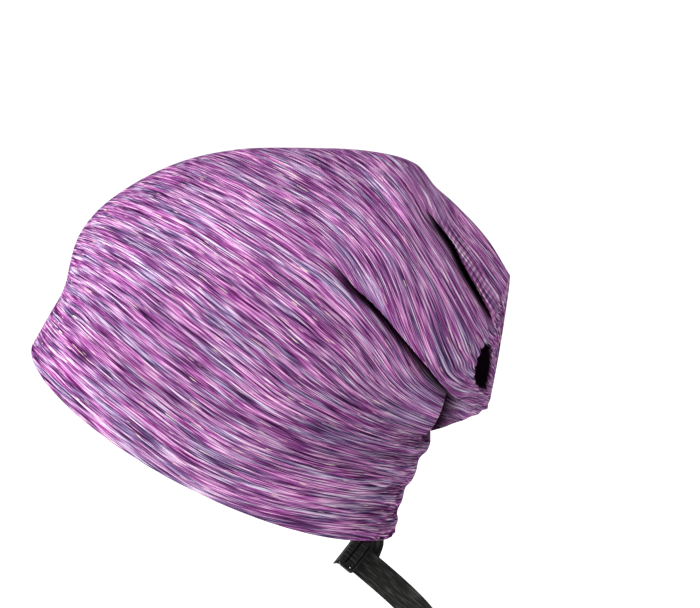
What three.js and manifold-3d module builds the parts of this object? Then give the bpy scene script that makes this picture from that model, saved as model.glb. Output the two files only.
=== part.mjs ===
// Slouchy jersey beanie with a satin lining and a slider-adjusted elastic at the nape.
// Millimetres, +Z up. The wearer faces -X, so the slouch bag hangs towards +X,
// and -Y is the wearer's left side. The origin is the spot inside the lining
// where the top of the head carries the hat.

import * as THREE from 'three';
import { mergeVertices } from 'three/addons/utils/BufferGeometryUtils.js';
import Module from 'manifold-3d';

const wasm = await Module();
wasm.setup();

// Cloth walls
const WALL = 1.1;
const CHANNEL = 2.0;
const LINING_GAP = 0.5;
const LINING = 0.9;
const RIM_CHANNEL = 0.4;
const RIM_ROUND = 1.3;
const CHANNEL_OPENS = 0.45;
const CHANNEL_FLOOR = 0.05;
const HEM_RUN = { forehead: 0.235, nape: 0.37 };
const LINING_TUCK = 0.8;

// Mesh density: columns round the head, rows from the rim to the tip
const AROUND = 48;
const CROWDING = 0.42;
const CROWDED_TURN = 2.0;
const BAND_ROWS = 5;
const CROWN_ROWS = 15;
const CAP_ROWS = 5;
const CAP_START = 0.98;

// Elastic and slider
const ELASTIC_WIDTH = 15;
const ELASTIC = 0.9;
const SLIDER_LENGTH = 18.5;
const SLIDER_THICK = 2.2;
const SLIDER_CORNER = 1.6;
const SLOT_LENGTH = 15.7;
const PIECE_GAP = 0.3;
const TAIL_LENGTH = 60;
const STRAP_ACROSS = 3.5;
const LOOP_ACROSS = 2;
const LEG_FOOT = 0.62;
const STRAP_PULL = new THREE.Vector3(-1.4, 5, 7.4);
const LOOP_PULL = new THREE.Vector3(0.5, 7, 7);
const TWIST_END = 0.8;
const LEG_REACH = 14;
const STRAP_SWING = new THREE.Vector3(-2.4, -0.2, -0.2);
const LOOP_SWING = new THREE.Vector3(-0.4, 0, 0);
const LOOP_HOLLOW = 1.7;
const LEG_STEPS = 9;
const FOLD_STEPS = 4;
const LOOP_RUN = 0.2;
const LOOP_TURN = 0.17;

// The hat is a bent tube of oval sections. Each row is one section: how far along
// the hat it lies, its forehead (or top) point, its nape (or underside) point, its
// half widths to the wearer's left and right, how far its sides bow to the rim, and
// how far its left side leans forward.
const SECTIONS = [
  { run: 0.0, topX: -92.2, topZ: -97.0, napeX: 92.7, napeZ: -189.6, left: 76, right: 76, bow: 4.5, lean: 0 },
  { run: 0.1, topX: -83.1, topZ: -81.4, napeX: 95.7, napeZ: -179.5, left: 78, right: 78, bow: 3, lean: 0 },
  { run: 0.18, topX: -74.6, topZ: -66.0, napeX: 99.2, napeZ: -170.2, left: 79, right: 79, bow: 2, lean: 0 },
  { run: 0.28, topX: -66.5, topZ: -39.5, napeX: 104.2, napeZ: -159.4, left: 81, right: 81, bow: 0, lean: 0 },
  { run: 0.36, topX: -50.9, topZ: -22.0, napeX: 109.3, napeZ: -150.0, left: 83, right: 83, bow: 0, lean: 0 },
  { run: 0.46, topX: -21.7, topZ: -5.2, napeX: 111.3, napeZ: -143.2, left: 84, right: 84, bow: 0, lean: 0 },
  { run: 0.56, topX: 10.1, topZ: 3.2, napeX: 107.5, napeZ: -137.6, left: 82, right: 82, bow: 0, lean: 0 },
  { run: 0.64, topX: 45.3, topZ: 4.9, napeX: 105.8, napeZ: -134.6, left: 79, right: 79, bow: 0, lean: 0 },
  { run: 0.72, topX: 77.6, topZ: 4.1, napeX: 112.8, napeZ: -136.4, left: 76, right: 75, bow: 0, lean: 0 },
  { run: 0.79, topX: 100.3, topZ: -1.2, napeX: 120.9, napeZ: -134.6, left: 74, right: 71, bow: 0, lean: 0 },
  { run: 0.84, topX: 110.5, topZ: -12.5, napeX: 126.9, napeZ: -131.4, left: 72, right: 68, bow: 0, lean: 1 },
  { run: 0.89, topX: 122.5, topZ: -23.0, napeX: 131.5, napeZ: -128.8, left: 69, right: 64, bow: 0, lean: 2 },
  { run: 0.94, topX: 138.0, topZ: -39.2, napeX: 136.0, napeZ: -126.0, left: 63, right: 56, bow: 0, lean: 4 },
  { run: 0.98, topX: 150.1, topZ: -57.3, napeX: 141.1, napeZ: -122.8, left: 49, right: 44, bow: 0, lean: 7 },
];

// The gathered nape edge hangs a little below the rest of the rim
const DROOP = { depth: 3.2, halfTurn: 0.26, halfRun: 0.08 };

// The gathered tip of the crown, on the left of the bag's end, and the pit it sits in
const TIP = { x: 143.5, y: -34, z: -95.2 };
const TIP_PIT = { depth: 8, across: 9, along: 14 };

// Folds on the left side are drawn on the plane that faces the line of sight from
// the wearer's left, turned and tilted by these angles; folds on the right side
// are drawn square to Y. u runs to the back of the head and v runs up.
const LEFT_TURN = THREE.MathUtils.degToRad(7);
const LEFT_TILT = THREE.MathUtils.degToRad(13);
const SIDE_BLEND = 14;
const ROLL_STEEPNESS = 0.85;

// Each row is a point of a fold's path: the valley's depth there, the width of the
// slope that sinks into it on the lower side, and the height and width of the
// roll on the upper side.
const FOLDS = [
  {
    name: 'crease under the slouch',
    side: -1,
    path: [
      { u: 57, v: -50, depth: 0, slope: 10, roll: 0, rollWidth: 10 },
      { u: 71.8, v: -64.5, depth: 3, slope: 12, roll: 1, rollWidth: 10 },
      { u: 83.5, v: -75.3, depth: 5.5, slope: 13, roll: 1.5, rollWidth: 10 },
      { u: 95, v: -88.5, depth: 7.5, slope: 13, roll: 2, rollWidth: 10 },
      { u: 106.5, v: -102, depth: 8.5, slope: 13, roll: 2, rollWidth: 10 },
      { u: 118, v: -117, depth: 8, slope: 12, roll: 1.5, rollWidth: 9 },
      { u: 114, v: -128, depth: 5, slope: 11, roll: 0.5, rollWidth: 9 },
      { u: 110, v: -140, depth: 2, slope: 10, roll: 0, rollWidth: 9 },
    ],
  },
  {
    name: 'crevice beside the rear flap',
    side: -1,
    path: [
      { u: 109, v: -30, depth: 0, slope: 8, roll: 0, rollWidth: 8 },
      { u: 114.5, v: -35, depth: 3, slope: 9, roll: 1, rollWidth: 8 },
      { u: 122.5, v: -44, depth: 4.5, slope: 10, roll: 1.5, rollWidth: 8 },
      { u: 128, v: -56.5, depth: 5, slope: 10, roll: 1.5, rollWidth: 8 },
      { u: 134.3, v: -66.4, depth: 5, slope: 9, roll: 1.2, rollWidth: 7 },
      { u: 139, v: -78, depth: 3.5, slope: 8, roll: 0.8, rollWidth: 7 },
      { u: 139, v: -92, depth: 2, slope: 7, roll: 0, rollWidth: 7 },
    ],
  },
  {
    name: 'crease under the slouch, right side',
    side: 1,
    path: [
      { u: 70, v: -70, depth: 0, slope: 12, roll: 0, rollWidth: 12 },
      { u: 88, v: -88, depth: 4, slope: 14, roll: 1, rollWidth: 12 },
      { u: 104, v: -108, depth: 6, slope: 14, roll: 1.5, rollWidth: 12 },
      { u: 112, v: -126, depth: 5, slope: 13, roll: 0.5, rollWidth: 11 },
      { u: 110, v: -140, depth: 2, slope: 10, roll: 0, rollWidth: 10 },
    ],
  },
  {
    name: 'dent over the temple',
    side: -1,
    path: [
      { u: -72, v: -66, depth: 0, slope: 14, roll: 0, rollWidth: 12 },
      { u: -48, v: -92, depth: 2.5, slope: 16, roll: 0.8, rollWidth: 14 },
      { u: -15, v: -120, depth: 2.5, slope: 16, roll: 0.8, rollWidth: 14 },
      { u: 20, v: -138, depth: 0, slope: 14, roll: 0, rollWidth: 12 },
    ],
  },
];

// Shallow pleats that run forward from the nape: where each starts on the drawn
// plane, how far it runs forward and up, its depth and its half width.
const PLEATS = [
  { u: 105, v: -152, runU: -58, runV: 14, depth: 2.2, half: 4.2 },
  { u: 100, v: -161, runU: -62, runV: 16, depth: 2.0, half: 4.0 },
  { u: 96, v: -179, runU: -55, runV: 15, depth: 2.0, half: 4.5 },
  { u: 92, v: -187, runU: -46, runV: 12, depth: 1.4, half: 3.4 },
];

const smooth = (edge0, edge1, value) => {
  const t = Math.min(1, Math.max(0, (value - edge0) / (edge1 - edge0)));
  return t * t * (3 - 2 * t);
};

const mix = (a, b, t) => a + (b - a) * t;

const bell = (value) => Math.exp(-value * value);

// Every column of the section table at any run, by a cubic through its rows
function sectionAt(run) {
  const last = SECTIONS.length - 1;
  let i = 0;
  while (i < last - 1 && run > SECTIONS[i + 1].run) i += 1;
  const rows = [SECTIONS[Math.max(i - 1, 0)], SECTIONS[i], SECTIONS[i + 1],
    SECTIONS[Math.min(i + 2, last)]];
  const span = rows[2].run - rows[1].run;
  const t = (run - rows[1].run) / span;
  const section = {};
  for (const column of ['topX', 'topZ', 'napeX', 'napeZ', 'left', 'right', 'bow', 'lean']) {
    const value = rows.map((row) => row[column]);
    const rise = value[2] - value[1];
    const slopeIn = i === 0 ? rise : ((value[2] - value[0]) / (rows[2].run - rows[0].run)) * span;
    const slopeOut = i === last - 1 ? rise
      : ((value[3] - value[1]) / (rows[3].run - rows[1].run)) * span;
    const t2 = t * t;
    const t3 = t2 * t;
    section[column] = (2 * t3 - 3 * t2 + 1) * value[1] + (t3 - 2 * t2 + t) * slopeIn
      + (3 * t2 - 2 * t3) * value[2] + (t3 - t2) * slopeOut;
  }
  return section;
}

// The unfolded hat. turn is 0 at the forehead, a quarter at the wearer's left
// side and a half at the nape, in radians.
function plainPoint(run, turn) {
  const along = Math.min(run, CAP_START);
  const section = sectionAt(along);
  const midX = (section.topX + section.napeX) / 2;
  const midZ = (section.topZ + section.napeZ) / 2;
  const halfX = (section.topX - section.napeX) / 2;
  const halfZ = (section.topZ - section.napeZ) / 2;
  const half = Math.hypot(halfX, halfZ);
  const cos = Math.cos(turn);
  const sin = Math.sin(turn);
  const width = mix(section.right, section.left, 0.5 + 0.5 * sin);
  const bow = section.bow * sin * sin / half;
  const point = new THREE.Vector3(
    midX + halfX * cos - halfZ * bow - section.lean * Math.max(sin, 0) ** 2,
    -width * sin,
    midZ + halfZ * cos + halfX * bow,
  );
  const droopTurn = bell((turn - Math.PI) / DROOP.halfTurn);
  point.z -= DROOP.depth * droopTurn * bell(run / DROOP.halfRun);
  if (run > CAP_START) {
    const t = (run - CAP_START) / (1 - CAP_START);
    const tip = new THREE.Vector3(TIP.x, TIP.y, TIP.z);
    const endFace = new THREE.Vector3(halfZ, 0, -halfX).normalize();
    const reach = tip.sub(point);
    const out = reach.dot(endFace);
    point.addScaledVector(reach, t);
    point.addScaledVector(endFace, out * (Math.sin((Math.PI * t) / 2) - t));
  }
  return point;
}

// Signed distance from a drawn point to a path: positive on the upper side
function nearestOnPath(path, u, v) {
  let best = null;
  for (let i = 0; i < path.length - 1; i += 1) {
    const a = path[i];
    const b = path[i + 1];
    const du = b.u - a.u;
    const dv = b.v - a.v;
    const length = Math.hypot(du, dv);
    const t = Math.min(1, Math.max(0, ((u - a.u) * du + (v - a.v) * dv) / (length * length)));
    const gapU = u - (a.u + du * t);
    const gapV = v - (a.v + dv * t);
    const distance = Math.hypot(gapU, gapV);
    if (best === null || distance < best.distance) {
      const side = Math.sign(gapV * du - gapU * dv) || 1;
      best = { distance, side, a, b, t };
    }
  }
  return best;
}

function drawnOn(side, point) {
  if (side > 0) return { u: point.x, v: point.z };
  const across = point.y * Math.cos(LEFT_TURN) - point.x * Math.sin(LEFT_TURN);
  return {
    u: point.x * Math.cos(LEFT_TURN) + point.y * Math.sin(LEFT_TURN),
    v: across * Math.sin(LEFT_TILT) + point.z * Math.cos(LEFT_TILT),
  };
}

// How far the cloth sinks at a point of the unfolded hat
function sinkAt(point) {
  let sink = 0;
  for (const fold of FOLDS) {
    const here = smooth(-SIDE_BLEND, SIDE_BLEND, fold.side * point.y + SIDE_BLEND * 0.4);
    if (here > 0) {
      const { u, v } = drawnOn(fold.side, point);
      const near = nearestOnPath(fold.path, u, v);
      const depth = mix(near.a.depth, near.b.depth, near.t);
      const slope = mix(near.a.slope, near.b.slope, near.t);
      const roll = mix(near.a.roll, near.b.roll, near.t);
      const rollWidth = mix(near.a.rollWidth, near.b.rollWidth, near.t);
      const reach = near.side > 0 ? rollWidth * ROLL_STEEPNESS : slope;
      sink += here * depth * bell(near.distance / reach);
      if (near.side > 0) sink -= here * roll * bell((near.distance - rollWidth) / rollWidth);
    }
  }
  const left = smooth(-SIDE_BLEND, SIDE_BLEND, -point.y + SIDE_BLEND * 0.4);
  const drawn = drawnOn(-1, point);
  for (const pleat of PLEATS) {
    const length = Math.hypot(pleat.runU, pleat.runV);
    const gapU = drawn.u - pleat.u;
    const gapV = drawn.v - pleat.v;
    const along = (gapU * pleat.runU + gapV * pleat.runV) / length;
    const across = (gapV * pleat.runU - gapU * pleat.runV) / length;
    const fade = smooth(length, 0, along) * smooth(-16, 0, along);
    sink += left * pleat.depth * fade * bell(across / pleat.half);
  }
  const pitX = (point.x - TIP.x) / TIP_PIT.across;
  const pitY = (point.y - TIP.y) / TIP_PIT.across;
  const pitZ = (point.z - TIP.z) / TIP_PIT.along;
  return sink + TIP_PIT.depth * bell(Math.hypot(pitX, pitY, pitZ));
}

// Outward normal of a surface given as a function of run and turn
function normalOf(surface, run, turn) {
  const step = 0.004;
  const low = Math.max(run - step, 0);
  const high = Math.min(run + step, 0.9995);
  const alongRun = surface(high, turn).sub(surface(low, turn));
  const alongTurn = surface((low + high) / 2, turn + 0.02).sub(surface((low + high) / 2, turn - 0.02));
  return alongTurn.cross(alongRun).normalize();
}

function foldedPoint(run, turn) {
  const point = plainPoint(run, turn);
  const outward = normalOf(plainPoint, run, turn);
  return point.addScaledVector(outward, -sinkAt(point));
}

// A point of the cloth at a depth under the hat's outer face
const clothCache = new Map();
function clothPoint(run, turn, depth) {
  const key = `${run.toFixed(5)} ${turn.toFixed(5)}`;
  if (!clothCache.has(key)) {
    clothCache.set(key, {
      face: foldedPoint(run, turn),
      outward: normalOf(foldedPoint, run, turn),
    });
  }
  const { face, outward } = clothCache.get(key);
  return face.clone().addScaledVector(outward, -depth);
}

// Columns crowd together on the left side of the bag, where the folds are
function turnOf(column) {
  const even = (2 * Math.PI * column) / AROUND;
  return even - CROWDING * Math.sin(even - CROWDED_TURN);
}

// A level counts up the hat: 0 at the rim, 1 at the hem's top edge, 2 where the
// end cap starts and 3 at the tip
function runOf(level, turn) {
  const hem = mix(HEM_RUN.forehead, HEM_RUN.nape, (1 - Math.cos(turn)) / 2);
  if (level <= 1) return hem * level;
  if (level <= 2) return mix(hem, CAP_START, level - 1);
  return mix(CAP_START, 1, level - 2);
}

function ring(level, depth, drop = 0) {
  const points = [];
  for (let i = 0; i < AROUND; i += 1) {
    const turn = turnOf(i);
    const run = runOf(level, turn);
    const point = clothPoint(run, turn, depth);
    if (drop > 0) {
      const above = clothPoint(run + 0.02, turn, depth);
      point.addScaledVector(point.clone().sub(above).normalize(), drop);
    }
    points.push(point);
  }
  points.level = level;
  return points;
}

// A closed skin over rings with the same number of points, with a point at each end.
// Faces that lie over each other split their squares the same way, so that they stay
// parallel: the levels of the rings say which way that is.
function skin(rings, startPoint, endPoint) {
  const count = rings[0].length;
  const points = [startPoint, ...rings.flat(), endPoint];
  const index = [];
  const at = (row, column) => 1 + row * count + (column % count);
  for (let i = 0; i < count; i += 1) {
    index.push(0, at(0, i + 1), at(0, i));
    index.push(points.length - 1, at(rings.length - 1, i), at(rings.length - 1, i + 1));
  }
  for (let row = 0; row < rings.length - 1; row += 1) {
    const rising = rings[row + 1].level > rings[row].level;
    for (let i = 0; i < count; i += 1) {
      const corners = [at(row, i), at(row, i + 1), at(row + 1, i + 1), at(row + 1, i)];
      const [a, b, c, d] = rising ? corners : [...corners.slice(1), corners[0]];
      index.push(a, b, d, b, c, d);
    }
  }
  const geometry = new THREE.BufferGeometry();
  geometry.setAttribute('position', new THREE.Float32BufferAttribute(
    points.flatMap((point) => [point.x, point.y, point.z]), 3));
  geometry.setIndex(index);
  return facingOut(geometry);
}

function facingOut(geometry) {
  const position = geometry.getAttribute('position');
  const corner = [new THREE.Vector3(), new THREE.Vector3(), new THREE.Vector3()];
  const index = Array.from(geometry.index.array);
  let volume = 0;
  for (let i = 0; i < index.length; i += 3) {
    corner.forEach((point, k) => point.fromBufferAttribute(position, index[i + k]));
    volume += corner[0].dot(corner[1].clone().cross(corner[2]));
  }
  if (volume < 0) {
    for (let i = 0; i < index.length; i += 3) [index[i], index[i + 1]] = [index[i + 1], index[i]];
    geometry.setIndex(index);
  }
  geometry.computeVertexNormals();
  return geometry;
}

function toSolid(geometry) {
  const bare = geometry.clone();
  bare.deleteAttribute('normal');
  if (bare.getAttribute('uv')) bare.deleteAttribute('uv');
  const merged = mergeVertices(bare, 1e-4);
  return new wasm.Manifold(new wasm.Mesh({
    numProp: 3,
    vertProperties: merged.getAttribute('position').array,
    triVerts: new Uint32Array(merged.index.array),
  }));
}

function toGeometry(solid) {
  const mesh = solid.getMesh();
  const geometry = new THREE.BufferGeometry();
  geometry.setAttribute('position', new THREE.BufferAttribute(mesh.vertProperties, 3));
  geometry.setIndex(new THREE.BufferAttribute(mesh.triVerts, 1));
  geometry.computeVertexNormals();
  return geometry;
}

// The mesh rows' levels, closer together towards the tip
const LEVELS = [];
for (let i = 0; i < BAND_ROWS; i += 1) LEVELS.push(i / BAND_ROWS);
for (let i = 0; i < CROWN_ROWS; i += 1) LEVELS.push(1 + i / CROWN_ROWS);
for (let i = 0; i < CAP_ROWS; i += 1) LEVELS.push(2 + i / CAP_ROWS);

// The slit in the inner leaf of the hem, at the nape
const SLIT = { run: 0.25, halfRun: 0.08, turn: Math.PI, halfTurn: 0.055 };

function slitBlock() {
  const low = WALL + CHANNEL * 0.6;
  const high = WALL * 2 + CHANNEL + 1.5;
  const rings = [];
  for (const turn of [-1, 0, 1]) {
    const at = SLIT.turn + turn * SLIT.halfTurn;
    rings.push([
      clothPoint(SLIT.run - SLIT.halfRun, at, low),
      clothPoint(SLIT.run, at, low),
      clothPoint(SLIT.run + SLIT.halfRun, at, low),
      clothPoint(SLIT.run + SLIT.halfRun, at, high),
      clothPoint(SLIT.run, at, high),
      clothPoint(SLIT.run - SLIT.halfRun, at, high),
    ]);
  }
  return skin(rings, clothPoint(SLIT.run, SLIT.turn - SLIT.halfTurn, (low + high) / 2),
    clothPoint(SLIT.run, SLIT.turn + SLIT.halfTurn, (low + high) / 2));
}

// The hem leaf turned up inside lies close to the wall at the rim and leaves the
// elastic's channel above that
const HEM_BACK = WALL + CHANNEL;
const HEM_FACE = HEM_BACK + WALL;
const channelAt = (level) => mix(RIM_CHANNEL, CHANNEL, smooth(0, CHANNEL_OPENS, level));
const hemBackAt = (level) => WALL + channelAt(level);
const hemFaceAt = (level) => hemBackAt(level) + WALL;

// One solid: outer face, rim fold, hem leaf, channel, inner face
function outerShell() {
  const hemLevels = [...LEVELS.filter((level) => level < 1), 1];
  const rings = [
    ...LEVELS.slice().reverse().map((level) => ring(level, 0)),
    ring(0, hemFaceAt(0) / 2, RIM_ROUND),
    ...hemLevels.map((level) => ring(level, hemFaceAt(level))),
    ...hemLevels.slice(1).reverse().map((level) => ring(level, hemBackAt(level))),
    ring(CHANNEL_FLOOR, WALL + channelAt(CHANNEL_FLOOR) / 2),
    ...LEVELS.slice(1).map((level) => ring(level, WALL)),
  ];
  const body = skin(rings, clothPoint(1, 0, 0), clothPoint(1, 0, WALL));
  return toGeometry(toSolid(body).subtract(toSolid(slitBlock())));
}

// The lining's edge is tucked between the wall and the hem leaf, where it is sewn
function satinLining() {
  const levels = [LINING_TUCK, ...LEVELS.filter((level) => level >= 1)];
  const near = WALL + LINING_GAP;
  const rings = [
    ...levels.slice().reverse().map((level) => ring(level, near)),
    ...levels.map((level) => ring(level, near + LINING)),
  ];
  return skin(rings, clothPoint(1, 0, near), clothPoint(1, 0, near + LINING));
}

// The slider's own frame: along its bars, across them, and out of its front face
const SLIDER_CENTRE = new THREE.Vector3(76, -20, -198.5);
const SLIDER_LEAN = THREE.MathUtils.degToRad(50);
const SLIDER_TILT = THREE.MathUtils.degToRad(35);
const alongBars = new THREE.Vector3(
  Math.cos(SLIDER_TILT) * Math.cos(SLIDER_LEAN),
  Math.sin(SLIDER_TILT),
  Math.cos(SLIDER_TILT) * Math.sin(SLIDER_LEAN),
);
const acrossBars = new THREE.Vector3(Math.sin(SLIDER_LEAN), 0, -Math.cos(SLIDER_LEAN));
const outOfFront = acrossBars.clone().cross(alongBars);

const onSlider = (along, across, out) => SLIDER_CENTRE.clone()
  .addScaledVector(alongBars, along)
  .addScaledVector(acrossBars, across)
  .addScaledVector(outOfFront, out);

// Bars and slots across the slider, from the loop's side to the tail's side
const SLIDER_BARS = { start: -4.6, slotA: -3.4, middle: -0.7, slotB: 1.3, endBar: 3.2, end: 4.4 };

function roundedRectangle(path, x0, y0, x1, y1, radius) {
  path.moveTo(x0 + radius, y0);
  path.lineTo(x1 - radius, y0);
  path.absarc(x1 - radius, y0 + radius, radius, -Math.PI / 2, 0, false);
  path.lineTo(x1, y1 - radius);
  path.absarc(x1 - radius, y1 - radius, radius, 0, Math.PI / 2, false);
  path.lineTo(x0 + radius, y1);
  path.absarc(x0 + radius, y1 - radius, radius, Math.PI / 2, Math.PI, false);
  path.lineTo(x0, y0 + radius);
  path.absarc(x0 + radius, y0 + radius, radius, Math.PI, Math.PI * 1.5, false);
  return path;
}

function sliderGeometry() {
  const bars = SLIDER_BARS;
  const half = SLIDER_LENGTH / 2;
  const outline = roundedRectangle(new THREE.Shape(), -half, bars.start, half, bars.end,
    SLIDER_CORNER);
  const slot = SLOT_LENGTH / 2;
  const slotCorner = 0.4;
  outline.holes.push(roundedRectangle(new THREE.Path(), -slot, bars.slotA, slot, bars.middle,
    slotCorner));
  outline.holes.push(roundedRectangle(new THREE.Path(), -slot, bars.slotB, slot, bars.endBar,
    slotCorner));
  const geometry = new THREE.ExtrudeGeometry(outline, {
    depth: SLIDER_THICK, bevelEnabled: false, curveSegments: 4,
  });
  geometry.translate(0, 0, -SLIDER_THICK / 2);
  return geometry;
}

// A flat elastic: stations give its middle, its width vector and its thickness vector
function elastic(stations) {
  const rings = stations.map(({ middle, width, thick }) => [
    middle.clone().addScaledVector(width, 0.5).addScaledVector(thick, 0.5),
    middle.clone().addScaledVector(width, -0.5).addScaledVector(thick, 0.5),
    middle.clone().addScaledVector(width, -0.5).addScaledVector(thick, -0.5),
    middle.clone().addScaledVector(width, 0.5).addScaledVector(thick, -0.5),
  ]);
  return skin(rings, stations[0].middle, stations[stations.length - 1].middle);
}

// Heights of the elastic's layers over and under the slider's middle plane
const LAYER_STEP = ELASTIC + 0.5;
const LAYER_FRONT = SLIDER_THICK / 2 + PIECE_GAP + ELASTIC / 2;
const LAYER_TAIL = -LAYER_FRONT;
const LAYER_TURN = LAYER_TAIL - LAYER_STEP;
const LAYER_LEG = LAYER_TURN - LAYER_STEP;
const LAYER_LOOP_TURN = LAYER_LEG - LAYER_STEP * 2.2;
const LAYER_LOOP_LEG = LAYER_LOOP_TURN - LAYER_STEP;

// A band that comes down inside the nape, from a root to its corner fold behind the
// slider. Its curve leaves the root forwards, and lift says how it rises from the fold.
function legStations(root, foldAcross, height, lift) {
  const foot = onSlider(ELASTIC_WIDTH * LEG_FOOT, foldAcross, height);
  const pull = foot.clone().add(lift);
  const reach = root.middle.clone().addScaledVector(root.forward, LEG_REACH);
  const curve = new THREE.CubicBezierCurve3(root.middle, reach, pull, foot);
  const stations = [];
  for (let i = 0; i < LEG_STEPS; i += 1) {
    const t = i / (LEG_STEPS - 1);
    const forward = curve.getTangent(t);
    const width = root.width.clone().lerp(acrossBars, smooth(0, TWIST_END, t));
    width.addScaledVector(forward, -width.dot(forward)).normalize();
    stations.push({
      middle: curve.getPoint(t),
      width: width.clone().multiplyScalar(ELASTIC_WIDTH),
      thick: width.clone().cross(forward).normalize().multiplyScalar(ELASTIC),
    });
  }
  return stations;
}

// The corner fold turns the band from along the bars to across them, over a line
// at 45 degrees to its edges
function cornerFold(foldAcross, lowHeight, highHeight) {
  const diagonal = alongBars.clone().add(acrossBars).normalize();
  const outward = acrossBars.clone().sub(alongBars).normalize();
  const centre = onSlider(0, foldAcross, (lowHeight + highHeight) / 2);
  const radius = (highHeight - lowHeight) / 2;
  const stations = [];
  for (let i = 0; i <= FOLD_STEPS; i += 1) {
    const angle = (Math.PI * i) / FOLD_STEPS;
    const spoke = outward.clone().multiplyScalar(Math.sin(angle))
      .addScaledVector(outOfFront, -Math.cos(angle));
    stations.push({
      middle: centre.clone().addScaledVector(spoke, radius),
      width: diagonal.clone().multiplyScalar(ELASTIC_WIDTH * Math.SQRT2),
      thick: spoke.multiplyScalar(ELASTIC),
    });
  }
  return stations;
}

// A band across the slider through rows of [across, height over the middle plane]
function threadedStations(rows) {
  const line = rows.map(([across, height]) => onSlider(0, across, height));
  return line.map((middle, i) => {
    const forward = line[Math.min(i + 1, line.length - 1)].clone()
      .sub(line[Math.max(i - 1, 0)]);
    return {
      middle,
      width: alongBars.clone().multiplyScalar(ELASTIC_WIDTH),
      thick: alongBars.clone().cross(forward).normalize().multiplyScalar(ELASTIC),
    };
  });
}

// The direction down the cloth towards the rim
function downCloth(run, turn, depth) {
  return clothPoint(run - 0.02, turn, depth).sub(clothPoint(run + 0.02, turn, depth)).normalize();
}

// Out through the slit, where it is tacked, down to the slider, round its middle bar
// and away as the tail. Rows: [turn past the slit, depth under the hat's face].
const SLIT_ROUTE = [
  [0.032, HEM_BACK - 0.2],
  [0.012, HEM_BACK + 0.7],
  [-0.012, HEM_FACE + 0.6],
];

// Rows: [across the bars, height over the slider's middle plane]
const STRAP_ROUTE = [
  [0.2, LAYER_TURN],
  [-0.7, LAYER_TURN + 0.2],
  [-1.35, LAYER_TURN + 0.9],
  [-1.45, LAYER_TURN + 1.8],
  [-1.45, LAYER_FRONT - 1.1],
  [-1.2, LAYER_FRONT - 0.35],
  [-0.5, LAYER_FRONT],
  [1.1, LAYER_FRONT],
  [1.9, LAYER_FRONT - 0.3],
  [2.25, LAYER_FRONT - 1.1],
  [2.25, LAYER_TAIL + 1.2],
  [2.6, LAYER_TAIL + 0.3],
  [3.4, LAYER_TAIL],
  [6, LAYER_TAIL],
];
const LOOP_ROUTE = [
  [-4.2, LAYER_LOOP_TURN],
  [-5.2, LAYER_LOOP_TURN + 0.6],
  [-5.35, LAYER_LOOP_TURN + 2],
  [-5.35, LAYER_FRONT - 1.2],
  [-5.1, LAYER_FRONT - 0.35],
  [-4.5, LAYER_FRONT],
  [-3.5, LAYER_FRONT],
  [-2.85, LAYER_FRONT - 0.35],
  [-2.65, LAYER_FRONT - 1.2],
  [-2.65, LAYER_TAIL - 0.2],
];

// The tail droops as it goes: each row is how far along it, in millimetres, and how
// much further the band has turned down by then, in degrees.
const TAIL_TURNS = [
  { along: 10, down: 0 },
  { along: 20, down: 3 },
  { along: 30, down: 8 },
  { along: 40, down: 14 },
  { along: 50, down: 20 },
  { along: TAIL_LENGTH, down: 25 },
];

function tailStations(start) {
  const stations = [];
  const from = start.middle.clone();
  let travelled = 0;
  for (const row of TAIL_TURNS) {
    const angle = THREE.MathUtils.degToRad(row.down);
    const forward = acrossBars.clone().multiplyScalar(Math.cos(angle))
      .addScaledVector(alongBars, -Math.sin(angle));
    from.addScaledVector(forward, row.along - travelled);
    travelled = row.along;
    const width = alongBars.clone().addScaledVector(forward, -alongBars.dot(forward)).normalize();
    stations.push({
      middle: from.clone(),
      width: width.multiplyScalar(ELASTIC_WIDTH),
      thick: start.thick.clone(),
    });
  }
  return stations;
}

function elasticStrap() {
  const width = downCloth(SLIT.run, SLIT.turn, HEM_FACE);
  const line = SLIT_ROUTE.map(([turn, depth]) => clothPoint(SLIT.run, SLIT.turn + turn, depth));
  const hidden = line.map((middle, i) => {
    const forward = line[Math.min(i + 1, line.length - 1)].clone().sub(line[Math.max(i - 1, 0)]);
    return {
      middle,
      width: width.clone().multiplyScalar(ELASTIC_WIDTH),
      thick: width.clone().cross(forward).normalize().multiplyScalar(ELASTIC),
    };
  });
  const out = line[line.length - 1].clone().sub(line[line.length - 2]).normalize();
  const root = {
    middle: line[line.length - 1].clone().addScaledVector(out, 2.5),
    forward: out.clone().add(STRAP_SWING).normalize(),
    width,
  };
  const threaded = threadedStations(STRAP_ROUTE);
  return elastic([
    ...hidden,
    ...legStations(root, STRAP_ACROSS, LAYER_LEG, STRAP_PULL),
    ...cornerFold(STRAP_ACROSS, LAYER_LEG, LAYER_TURN),
    ...threaded,
    ...tailStations(threaded[threaded.length - 1]),
  ]);
}

// The fixed end: tacked flat on the hem beside the slit, down to the slider and round
// its first bar
function sliderLoop() {
  const depth = HEM_FACE + PIECE_GAP + ELASTIC / 2 + LOOP_HOLLOW;
  const turn = SLIT.turn + LOOP_TURN;
  const root = {
    middle: clothPoint(LOOP_RUN, turn, depth),
    forward: downCloth(LOOP_RUN, turn, depth).add(LOOP_SWING).normalize(),
    width: new THREE.Vector3(0, 1, 0),
  };
  return elastic([
    ...legStations(root, LOOP_ACROSS, LAYER_LOOP_LEG, LOOP_PULL),
    ...cornerFold(LOOP_ACROSS, LAYER_LOOP_LEG, LAYER_LOOP_TURN),
    ...threadedStations(LOOP_ROUTE),
  ]);
}

const hat = new THREE.Group();

function addPiece(name, geometry, color, roughness) {
  const material = new THREE.MeshStandardMaterial({ color, roughness, metalness: 0 });
  const mesh = new THREE.Mesh(geometry, material);
  mesh.name = name;
  hat.add(mesh);
  return mesh;
}

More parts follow.
